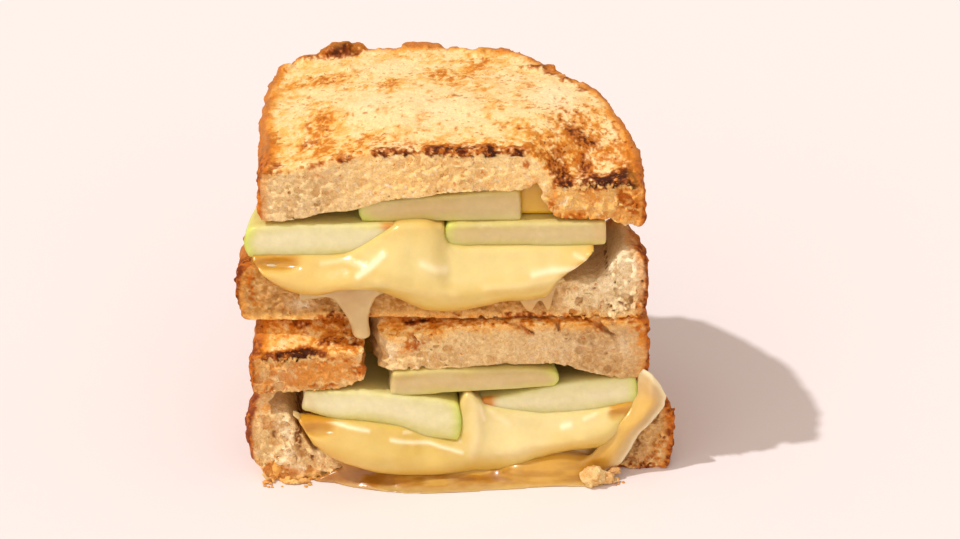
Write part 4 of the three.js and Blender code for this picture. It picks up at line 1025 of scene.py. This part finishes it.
def upper_white():
    seed = 231
    step = RES * 1.1
    xs = axis(-56, 41, step)
    ys = axis(-5.5, 62, step, 2.0, 2.4, 1.2)
    zs = axis(40.5, 72, step)
    axes = [xs, ys, zs]
    x, y, z = np.meshgrid(xs, ys, zs, indexing="ij")
    gx, gy = x[:, :, 0], y[:, :, 0]
    n_big = grid_noise(axes, (9.0, 6.0, 8.0), seed)
    n_small = grid_noise(axes, (2.6, 2.6, 3.2), seed + 1)
    over = up_base_over(gx, np.maximum(gy, 0))[:, :, None]
    plan = inside_slice("upper_base_bread", gx, gy, 4.0, -50.0, 29.0)[:, :, None]
    sheet = smax(np.abs(z - over - 0.9 - 0.2 * n_big) - 0.75, plan - 1.2 * n_big, 0.6)
    sheet = smax(sheet, -y - 1.0, 0.6)
    # the long drip, the veil at the left end and the thin drips on the right
    low = curve(gx, [(-56, 70), (-54.6, 64.5), (-53.4, 61.0), (-51.6, 58.0), (-48.5, 55.6), (-45, 54.0), (-41, 53.2), (-36.5, 53.6), (-33, 54.6), (-20.5, 55.4), (-12, 56), (-6, 58), (12, 58), (15.6, 55.0), (17.0, 53.2), (18.6, 50.8), (19.8, 49.6), (21.0, 51.4), (22.4, 53.8), (23.4, 52.4), (24.6, 49.4), (25.6, 52.0), (26.6, 57.4), (28.6, 60.4), (31, 62), (36, 65.5), (40, 70)], 0.55)[:, :, None]
    face = -(1.3 + 0.35 * n_big + 0.2 * n_small + 1.2 * bell(gx, 19.8, 3.4)[:, :, None] + 0.9 * bell(gx, 24.6, 1.6)[:, :, None])
    veil = smax(smax(face - y, low - z, 0.7), smax(z - np.maximum(over + 1.6, 66.4 - 8 * sm((gx + 53.6) / 3.5)[:, :, None]) * sm((gx + 43) / 2)[:, :, None] + (1 - sm((gx + 43) / 2)[:, :, None]) * (62.3 + 4 * sm((-52.6 - gx) / 1.6)[:, :, None]), y - 1.2, 0.4), 0.5)
    t = np.clip((57.5 - z) / 14.5, 0, 1)
    centre = -27.2 + 2.2 * t + 0.4 * n_big
    wide = 6.2 * (1 - t) ** 2.2 + 2.1 + 0.3 * bell(t, 0.9, 0.15)
    drip = np.sqrt(((x - centre) / wide) ** 2 + ((y + 1.4 + 0.8 * t) / (1.5 + 0.5 * bell(t, 0.85, 0.2))) ** 2) - 1
    drip = smax(drip * 1.6, smax(42.6 - z, z - 59, 0.6), 1.4)
    f = smin(smin(sheet, veil, 1.0), drip, 1.3)
    verts, quads = skin(f, axes)
    verts = relax(verts, quads, 2, 0.5)
    x, y, z = verts.T
    n1 = point_fbm(verts, (8.0, 6.0, 6.0), seed + 5, 3)
    colour = np.tile(WHITE, (len(x), 1))
    # random deeper tone, and painted shade on the sheet further back between the slices
    colour = lay(colour, WHITE_DEEP, 0.10 + 0.5 * n1 + 0.4 * sm((y + 0.6) / 1.5))
    # painted highlight on the top of the veil at the left end
    colour = lay(colour, srgb(250, 226, 178), 0.75 * sm((-38 - x) / 6) * sm((z - 56) / 3))
    colour = lay(colour, DEEP_YELLOW_AND_SHADE, 0.6 * sm((x - 14) / 3) * sm((-y - 1.2) / 1.5) * 0.6)
    make_piece("upper_white_cheese.melt", "upper", verts, quads, colour, {}, MATERIALS["white"], ("upper_white_cheese",))


def lo_left_top(x):
    return mix(19.6, 13.4, np.clip((x + 41.0) / 42.8, 0, 1))


def lo_right_top(x):
    return 16.2 + 3.8 * np.clip((x - 5.6) / 44, 0, 1)


L_LEFT_LOW = [(-44, 23), (-42.6, 20.6), (-40.9, 17.0), (-38.4, 12.9), (-34.1, 9.0), (-29.1, 6.5), (-21.3, 3.8), (-14.8, 2.6), (-8.5, 2.0), (3, 2.2), (8, 2.6)]
L_LEFT_HIGH = [(-44, 21.0), (-40, 20.6), (-34, 19.4), (-24, 18.4), (-15, 16.8), (-9, 13.8), (0, 11.8), (8, 11.5)]
L_RIGHT_LOW = [(-1, 4.0), (2.2, 2.6), (8.4, 2.0), (14.2, 2.8), (19.4, 4.7), (25.2, 7.0), (31.7, 8.2), (40.1, 8.4), (44.6, 11.0), (48.6, 15.2), (52, 20)]
L_RIGHT_HIGH = [(-1, 14), (0.4, 20.0), (1.2, 25.0), (2.2, 26.4), (4.4, 26.2), (5.6, 24.6), (6.6, 22.4), (9.0, 21.8), (14.9, 20.2), (23.8, 18.6), (30.3, 18.6), (39.2, 19.5), (44.3, 20.8), (49.4, 21.9)]


def lower_yellow():
    seed = 261
    step = RES * 1.3
    xs = axis(-45, 54, step)
    ys = axis(-10.5, 62, step, 2.0, 2.4, 1.2)
    zs = axis(-0.2, 34, step)
    axes = [xs, ys, zs]
    x, y, z = np.meshgrid(xs, ys, zs, indexing="ij")
    gx, gy = x[:, :, 0], y[:, :, 0]
    n_big = grid_noise(axes, (15.0, 9.0, 12.0), seed)
    n_fold = grid_noise(axes, (6.5, 9.0, 19.0), seed + 1)
    n_small = grid_noise(axes, (3.2, 3.2, 4.4), seed + 2)

    def lobe(low_pts, high_pts, belly, x0, x1, out, at):
        low = curve(gx, low_pts, 0.8)[:, :, None]
        top = curve(gx, high_pts, 0.8)[:, :, None]
        w = np.clip((z - low) / np.maximum(top - low, 0.5), 0, 1)
        bulge = belly * np.clip(np.sin(np.pi * np.clip((gx - x0) / (x1 - x0), 0, 1)), 0, 1)[:, :, None] ** 0.6
        bulge = bulge * (1 - 0.6 * sm((gx - 40) / 9))[:, :, None]
        out = out * (1 - 0.75 * sm((gx - 42) / 8))[:, :, None]
        shape = np.where(w < at, np.sin(np.pi / 2 * (0.30 + 0.70 * w / at)), 1 - sm((w - at) / (1 - at)))
        face = -(out + bulge * (0.05 + 0.95 * shape)) - 0.5 * n_big - 0.4 * n_fold - 0.12 * n_small
        for points, width, rise, _ in L_FOLDS:
            face = face - rise * np.exp(-((line_distance(x[:, :1, :], z[:, :1, :], points) / width) ** 2))
        d = smax(face - y, low - z, 2.0)
        d = smax(d, z - top, 1.4)
        d = smax(d, smax(x0 - x, x - x1, 1.0), 1.6)
        return smax(d, y - 1.8, 0.5)

    left = lobe(L_LEFT_LOW, L_LEFT_HIGH, 3.8, -44.5, 6.5, 2.4, 0.40)
    right = lobe(L_RIGHT_LOW, L_RIGHT_HIGH, 4.6, 1.4, 50.6, 1.9, 0.45)
    over = lo_base_over(gx, np.maximum(gy, 0))
    base = (over + 1.9)[:, :, None]
    top = np.maximum(over + 2.7, np.where(gx < 3.5, lo_left_top(gx), lo_right_top(gx)) + 4.5 * sm((gy - 38) / 10))[:, :, None]
    plan = inside_slice("lower_base_bread", gx, gy, 5.0, -39.0, 50.0)[:, :, None]
    sheet = smax(smax(z - top - 0.4 * n_big, base - z - 0.3, 0.8), plan - 1.2 * n_fold, 1.5)
    sheet = smax(sheet, -y - 0.6, 0.8)
    ridge = smax(smax(np.abs(x - 4.2) - 3.0, z - 24.6 - 0.6 * n_big, 2.0), np.abs(y - 18.0) - 19.5, 1.2)
    ridge = smax(ridge, 11 - z, 0.5)
    f = smin(smin(left, right, 0.5), smin(sheet, ridge, 1.6), 1.2)
    ceiling = lo_top_under(gx, np.maximum(gy, 0))[:, :, None] + 0.3
    back = smax(smax((np.abs(y - 35.0 - 0.6 * n_big) - 2.4 - 1.5 * np.clip(ceiling - z - 2.0, 0, 9)) * 0.6, smax(z - ceiling, base - z, 0.5), 1.0), plan + 1.0, 1.0)
    f = smin(f, back, 1.5)
    hollow = np.sqrt(((x + 36.6) / 4.6) ** 2 + ((y + 3.4) / 1.7) ** 2 + ((z - 18.0) / 2.0) ** 2) - 1
    f = smax(f, -hollow * 1.8, 0.6)
    hollow = np.sqrt(((x - 44.6) / 4.4) ** 2 + ((y + 2.8) / 1.7) ** 2 + ((z - 18.6) / 1.2) ** 2) - 1
    f = smax(f, -hollow * 1.4, 0.9)
    verts, quads = skin(f, axes)
    verts = relax(verts, quads, 3, 0.5)
    x, y, z = verts.T
    n1 = point_fbm(verts, (15.0, 8.0, 6.0), seed + 5, 3)
    n2 = point_fbm(verts, (4.0, 4.0, 3.0), seed + 6, 2)
    low = np.where(x < 2, curve(x, L_LEFT_LOW), curve(x, L_RIGHT_LOW))
    colour = np.tile(YELLOW, (len(x), 1))
    colour = lay(colour, YELLOW_PALE, 0.25 + 0.45 * n1 + 0.15 * n2 + 0.75 * sm((x - 1) / 5) * sm((z - low - 4) / 6) + 0.35 * bell(x, 4, 4) * sm((z - 12) / 6))
    colour = lay(colour, srgb(228, 214, 166), 0.55 * bell(x, 21, 14) * sm((z - low - 3.5) / 5) * (0.8 + 0.5 * n1))
    colour = lay(colour, YELLOW_RIM, 0.5 * sm((4.5 - (z - low)) / 3.5) + 0.35 * sm((-24 - x) / 10))
    # painted shade: deeper ochre in the two end hollows and on cheese set back under the apples
    colour = lay(colour, DEEP_YELLOW_AND_SHADE, 0.95 * sm((y + 4.6) / 2.0) * (sm((z - 15.0) / 2.5) * sm((-31.5 - x) / 3) + sm((z - 16.5) / 2) * sm((x - 40.5) / 2)) + 0.45 * sm((y + 0.8) / 2.0))
    # painted highlight along each fold
    for points, width, _, amount in L_FOLDS:
        colour = lay(colour, GLINT, amount * np.exp(-((line_distance(x, z, points) / (0.8 * width)) ** 2)) * sm((-y - 1.2) / 0.8))
    make_piece("lower_yellow_cheese.melt", "lower", verts, quads, colour, {}, MATERIALS["yellow"], ("lower_yellow_cheese",))


VEIL_EDGE = [(50.6, 30.6), (52.4, 29.9), (54.8, 26.8), (56.6, 23.0), (56.2, 20.0), (53.8, 17.2), (49.8, 13.3), (47.2, 8.6), (44.4, 4.2), (41.2, 2.4), (37.6, 2.0)]
VEIL_INNER = [(49.2, 29.6), (48.8, 24.0), (46.9, 19.4), (43.2, 15.4), (39.6, 11.4), (36.6, 8.0), (33.0, 4.4)]


def area_distance(x, z, points):
    """Signed distance in the front plane from an outline, negative inside."""
    ring = points + points[:1]
    inside = np.zeros(np.broadcast(x, z).shape, bool)
    for (ax, az), (bx, bz) in zip(ring[:-1], ring[1:]):
        if az != bz:
            inside ^= ((az > z) != (bz > z)) & (x < (bx - ax) * (z - az) / (bz - az) + ax)
    return np.where(inside, -1.0, 1.0) * line_distance(x, z, ring)


FILM_EDGE = [(-40, -2.0), (-37.4, 0.2), (-34.2, 0.9), (-29.1, 3.5), (-21.4, 6.1), (-13.9, 7.9), (-5.6, 8.6), (2.0, 8.4), (13.9, 7.7), (23.7, 7.3), (33.9, 8.0), (36.5, 8.8), (40, 7.0), (43.5, 5.0), (47, 2.4), (50, 0)]


def lower_white():
    seed = 291
    step = RES * 1.1
    xs = axis(-44, 60, step)
    ys = axis(-14, 62, step, 2.0, 2.4, 1.2)
    zs = axis(-0.3, 33, step)
    axes = [xs, ys, zs]
    x, y, z = np.meshgrid(xs, ys, zs, indexing="ij")
    gx, gy = x[:, :, 0], y[:, :, 0]
    n_big = grid_noise(axes, (10.0, 7.0, 9.0), seed)
    n_small = grid_noise(axes, (2.8, 2.8, 3.4), seed + 1)
    over = lo_base_over(gx, np.maximum(gy, 0))[:, :, None]
    plan = inside_slice("lower_base_bread", gx, gy, 4.0, -37.0, 55.5)[:, :, None]
    sheet = smax(np.abs(z - over - 0.9 - 0.2 * n_big) - 0.75, plan - 1.2 * n_big, 0.6)
    sheet = smax(sheet, -y - 1.0, 0.6)
    low = curve(gx, [(-45, 22), (-42.5, 20.6), (-40, 16), (-36, 10.5), (-31, 5), (-27, 1.4), (-24, 0.4), (36, 0.4), (38, 1.6), (41, 6), (45, 12)], 0.8)[:, :, None]
    high = np.maximum(over + 1.6, curve(gx, [(-46, 21.4), (-43, 21.8), (-41.4, 20.8), (-40.0, 15.5), (-36, 9), (32, 12), (44, 12)], 0.4)[:, :, None])
    face = -(1.6 + 0.4 * n_big + 0.2 * n_small)
    skirt = smax(smax(face - y, low - z, 0.7), smax(z - high, y - 1.2, 0.4), 0.5)
    skirt = smax(skirt, smax(-44.5 - x, x - 40.5, 0.5), 0.6)
    # the thin veil at the right end, with a thicker free edge
    flat_x, flat_z = x[:, :1, :], z[:, :1, :]
    from_edge = line_distance(flat_x, flat_z, VEIL_EDGE)
    outside = area_distance(flat_x, flat_z, VEIL_EDGE + VEIL_INNER[::-1])
    from_inner = line_distance(flat_x, flat_z, VEIL_INNER)
    lean = 2.7 * (1 - sm(from_inner / 4.2)) * sm((flat_z - 15) / 8) - 1.1 - 2.2 * sm((22 - flat_z) / 14) - 0.9 * sm(from_edge / 4) + 0.5 * np.sin(flat_z * 0.45 + flat_x * 0.2) - 0.22 * np.sin(from_edge * 1.3 + 0.2 * flat_z) * sm(from_edge / 2.0)
    veil = smax(np.abs(y - lean - 0.25 * n_big) - 0.68, outside, 0.6)
    bead = np.sqrt(from_edge**2 + (y - lean - 0.2) ** 2) - 0.50 - 0.15 * n_small
    veil = smin(veil, bead, 0.5)
    # the film on the floor: an apron that slopes down and forward from the skirt
    reach = curve(gx, FILM_EDGE, 1.0)[:, :, None] + 0.5 * n_big
    u = np.clip((-y - 1.0) / np.maximum(reach, 0.5), 0, 1.3)
    film = smax(z - (0.45 + 3.6 * sm((gx + 41) / 12)[:, :, None] * (1 - np.minimum(u, 1)) ** 1.6 + 0.25 * n_small + 0.35 * np.sin(gx * 0.55 + gy * 0.8)[:, :, None] * sm((-12 - gx) / 8)[:, :, None]), -y - 1.0 - reach, 0.5)
    film = smax(film, smax(y - 1.0, np.abs(x - 0.5) - 40.0, 0.8), 0.8)
    # a second low lobe to the right, tucked under the yellow one
    lobe = np.sqrt(((x - 25.5) / 14.0) ** 2 + ((y + 3.4) / 4.6) ** 2 + ((z - 2.6) / 5.4) ** 2) - 1 - 0.05 * n_small
    f = smin(smin(smin(sheet, skirt, 1.0), veil, 0.5), film, 1.4)
    f = smin(f, lobe * 4.0, 1.4)
    f = smax(f, 0.02 - z, 0.2)
    verts, quads = skin(f, axes)
    verts = relax(verts, quads, 2, 0.5)
    verts[:, 2] = np.maximum(verts[:, 2], 0.02)
    x, y, z = verts.T
    n1 = point_fbm(verts, (8.0, 6.0, 6.0), seed + 5, 3)
    n2 = point_fbm(verts, (3.0, 3.0, 3.0), seed + 6, 2)
    colour = np.tile(WHITE, (len(x), 1))
    colour = lay(colour, WHITE_DEEP, 0.10 + 0.5 * n1)
    rim_light = np.exp(-((line_distance(x, z, VEIL_EDGE) / 0.8) ** 2))
    veil_edge = line_distance(x, z, VEIL_EDGE)
    streak = point_fbm(verts, (1.6, 4.0, 3.2), seed + 8, 2)
    colour = lay(colour, srgb(218, 184, 134), (0.70 + 0.20 * streak) * sm((veil_edge - 1.2) / 2.5) * sm((x - 34) / 4))
    colour = lay(colour, srgb(222, 178, 84), 0.95 * sm((veil_edge - 1.2) / 2.6) * sm((x - 36) / 3) * sm((28 - z) / 8))
    colour = lay(colour, srgb(242, 224, 186), 0.75 * rim_light * sm((x - 36) / 3))
    # the film's own amber, deepened as painted shade under the lobes
    colour = lay(colour, FILM_AMBER_AND_SHADE, sm((9.0 - z) / 3.0) * sm((41 - x) / 4) * (0.85 + 0.4 * n2))
    colour = lay(colour, srgb(208, 158, 50), 0.90 * sm((x - 9) / 6) * sm((43 - x) / 3) * sm((-y - 3.4) / 1.5) * (1 + 0.5 * n1))
    # painted shade: the film is darker brown at the left, under the bread corner and the lobe
    colour = lay(colour, srgb(140, 84, 18), 0.65 * sm((-14 - x) / 10) * sm((6 - z) / 3) * (0.8 + 0.8 * n2))
    drawn = point_fbm(verts, (9.0, 2.2, 1.6), seed + 7, 3)
    low_film = sm((8.0 - z) / 3.0) * sm((38 - x) / 4)
    colour = lay(colour, srgb(140, 82, 16), 0.62 * sm((drawn - 0.05) / 0.35) * low_film * (1 - 0.6 * sm((x - 6) / 12)))
    # more painted shade on the left of the film
    colour = lay(colour, srgb(174, 112, 24), 0.45 * low_film * sm((-10 - x) / 8))
    colour = lay(colour, srgb(226, 184, 88), 0.50 * sm((-drawn - 0.05) / 0.3) * low_film * sm((x + 22) / 16))
    colour = lay(colour, srgb(226, 186, 118), 0.6 * sm((1.3 - z) / 0.8) * sm((-y - 0.62 * curve(x, FILM_EDGE)) / 2))
    make_piece("lower_white_cheese.melt", "lower", verts, quads, colour, {}, MATERIALS["white"], ("lower_white_cheese",))


def loose_crumbs():
    """Bits that have broken off: mesh at true size, one piece."""
    rng = np.random.default_rng(331)
    verts, quads, colours = [], [], []
    at = 0
    bits = [
        ((36.6, -8.0, 3.0), (3.3, 2.4, 3.0), (230, 202, 144)), ((40.0, -7.4, 1.9), (2.4, 1.8, 1.7), (224, 184, 126)), ((42.8, -5.0, 2.6), (1.5, 1.2, 1.1), (216, 170, 116)),
        ((42.4, -7.0, 0.8), (1.6, 1.0, 0.7), (226, 192, 140)), ((-45.8, 0.7, 6.6), (2.6, 1.3, 1.7), (250, 234, 194)), ((-48.6, 0.8, 3.4), (1.3, 1.0, 2.6), (236, 176, 92)),
        ((-44.4, -1.4, 0.7), (2.4, 0.9, 0.6), (240, 196, 124)), ((-51.4, -0.6, 0.5), (1.2, 0.7, 0.4), (230, 164, 84)), ((-41.0, -1.2, 0.8), (1.6, 0.8, 0.7), (222, 176, 112)),
    ]
    for _ in range(14):
        x = rng.uniform(-52, -38) if rng.random() < 0.6 else rng.uniform(36, 46)
        size = rng.uniform(0.2, 0.42)
        bits.append(((x, rng.uniform(-3.4, -1.0) - (5.5 if x > 0 else 0), size * 0.7), (size * 1.3, size, size * 0.8), (226, 160 + rng.uniform(-20, 20), 90)))
    for centre, size, tone in bits:
        span = max(size)
        step = span / 9
        axes = [np.arange(c - 1.5 * r - 2 * step, c + 1.5 * r + 3 * step, step) for c, r in zip(centre, size)]
        x, y, z = np.meshgrid(*axes, indexing="ij")
        f = np.sqrt(sum(((p - c) / r) ** 2 for p, c, r in zip((x, y, z), centre, size))) - 1
        f = f + 0.22 * grid_noise(axes, 0.55 * span, 341) + 0.20 * grid_noise(axes, 0.24 * span, 342)
        f = smax(f * span, 0.03 - z, 0.02)
        v, q = skin(f, axes, 20)
        if not len(v):
            continue
        v[:, 2] = np.maximum(v[:, 2], 0.03)
        n = point_fbm(v, 0.5 * span, 343, 3)
        c = lay(np.tile(srgb(*tone), (len(v), 1)), srgb(222, 160, 84), 0.25 + 0.9 * n)
        verts.append(v)
        quads.append(q + at)
        colours.append(c)
        at += len(v)
    verts, quads, colours = np.concatenate(verts), np.concatenate(quads), np.concatenate(colours)
    n = len(verts)
    make_piece("loose_crumbs", "lower", verts, quads, colours, {"toast": np.zeros(n), "pore": np.full(n, 0.7), "speck": np.full(n, 0.1)}, MATERIALS["bread"])


for i, name in enumerate(APPLES):
    apple(name, 101 + 13 * i)
upper_yellow()
upper_white()
lower_yellow()
lower_white()
loose_crumbs()

# ---------- camera ----------
ELEVATION = math.radians(28.0)
DISTANCE = 0.850
TARGET = (np.array([6.6, 0.0, 62.0]) + SHIFT) * 0.001
cam = bpy.data.cameras.new("photo_camera")
cam.lens = 121.0
cam.sensor_width = 36.0
cam.clip_start = 0.01
cam.clip_end = 20.0
camera = bpy.data.objects.new("photo_camera", cam)
bpy.context.scene.collection.objects.link(camera)
camera.location = (TARGET[0], TARGET[1] - DISTANCE * math.cos(ELEVATION), TARGET[2] + DISTANCE * math.sin(ELEVATION))
camera.rotation_euler = (math.pi / 2 - ELEVATION, 0, 0)
bpy.context.scene.camera = camera

# ---------- floor and light ----------
floor_mesh = bpy.data.meshes.new("floor")
floor_mesh.from_pydata([(-4, -4, 0), (4, -4, 0), (4, 4, 0), (-4, 4, 0)], [], [(0, 1, 2, 3)])
floor = bpy.data.objects.new("floor", floor_mesh)
bpy.context.scene.collection.objects.link(floor)
floor_material, ft, fb = principled("pale_floor", 0.9, specular=0.0)
fb.inputs["Base Color"].default_value = (0.86, 0.79, 0.80, 1)
floor_mesh.materials.append(floor_material)

sun = bpy.data.lights.new("key", "SUN")
sun.energy = 1.9
sun.angle = math.radians(1.6)
sun.color = (1.0, 0.99, 0.98)
key = bpy.data.objects.new("key", sun)
bpy.context.scene.collection.objects.link(key)
from mathutils import Vector

key.rotation_euler = Vector((-52.6, -16.0, 88)).to_track_quat("Z", "Y").to_euler()

fill_light = bpy.data.lights.new("fill", "SUN")
fill_light.energy = 1.15
fill_light.angle = math.radians(90.0)
fill_light.color = (1.0, 0.89, 0.79)
fill = bpy.data.objects.new("fill", fill_light)
bpy.context.scene.collection.objects.link(fill)
fill.rotation_euler = Vector((-0.15, -1.0, 0.42)).to_track_quat("Z", "Y").to_euler()

world = bpy.data.worlds.new("studio")
bpy.context.scene.world = world
world.use_nodes = True
bg = world.node_tree.nodes["Background"]
bg.inputs["Color"].default_value = (1.0, 0.865, 0.745, 1)
bg.inputs["Strength"].default_value = 0.57

bpy.context.scene.view_settings.view_transform = "Standard"
bpy.context.scene.view_settings.look = "None"
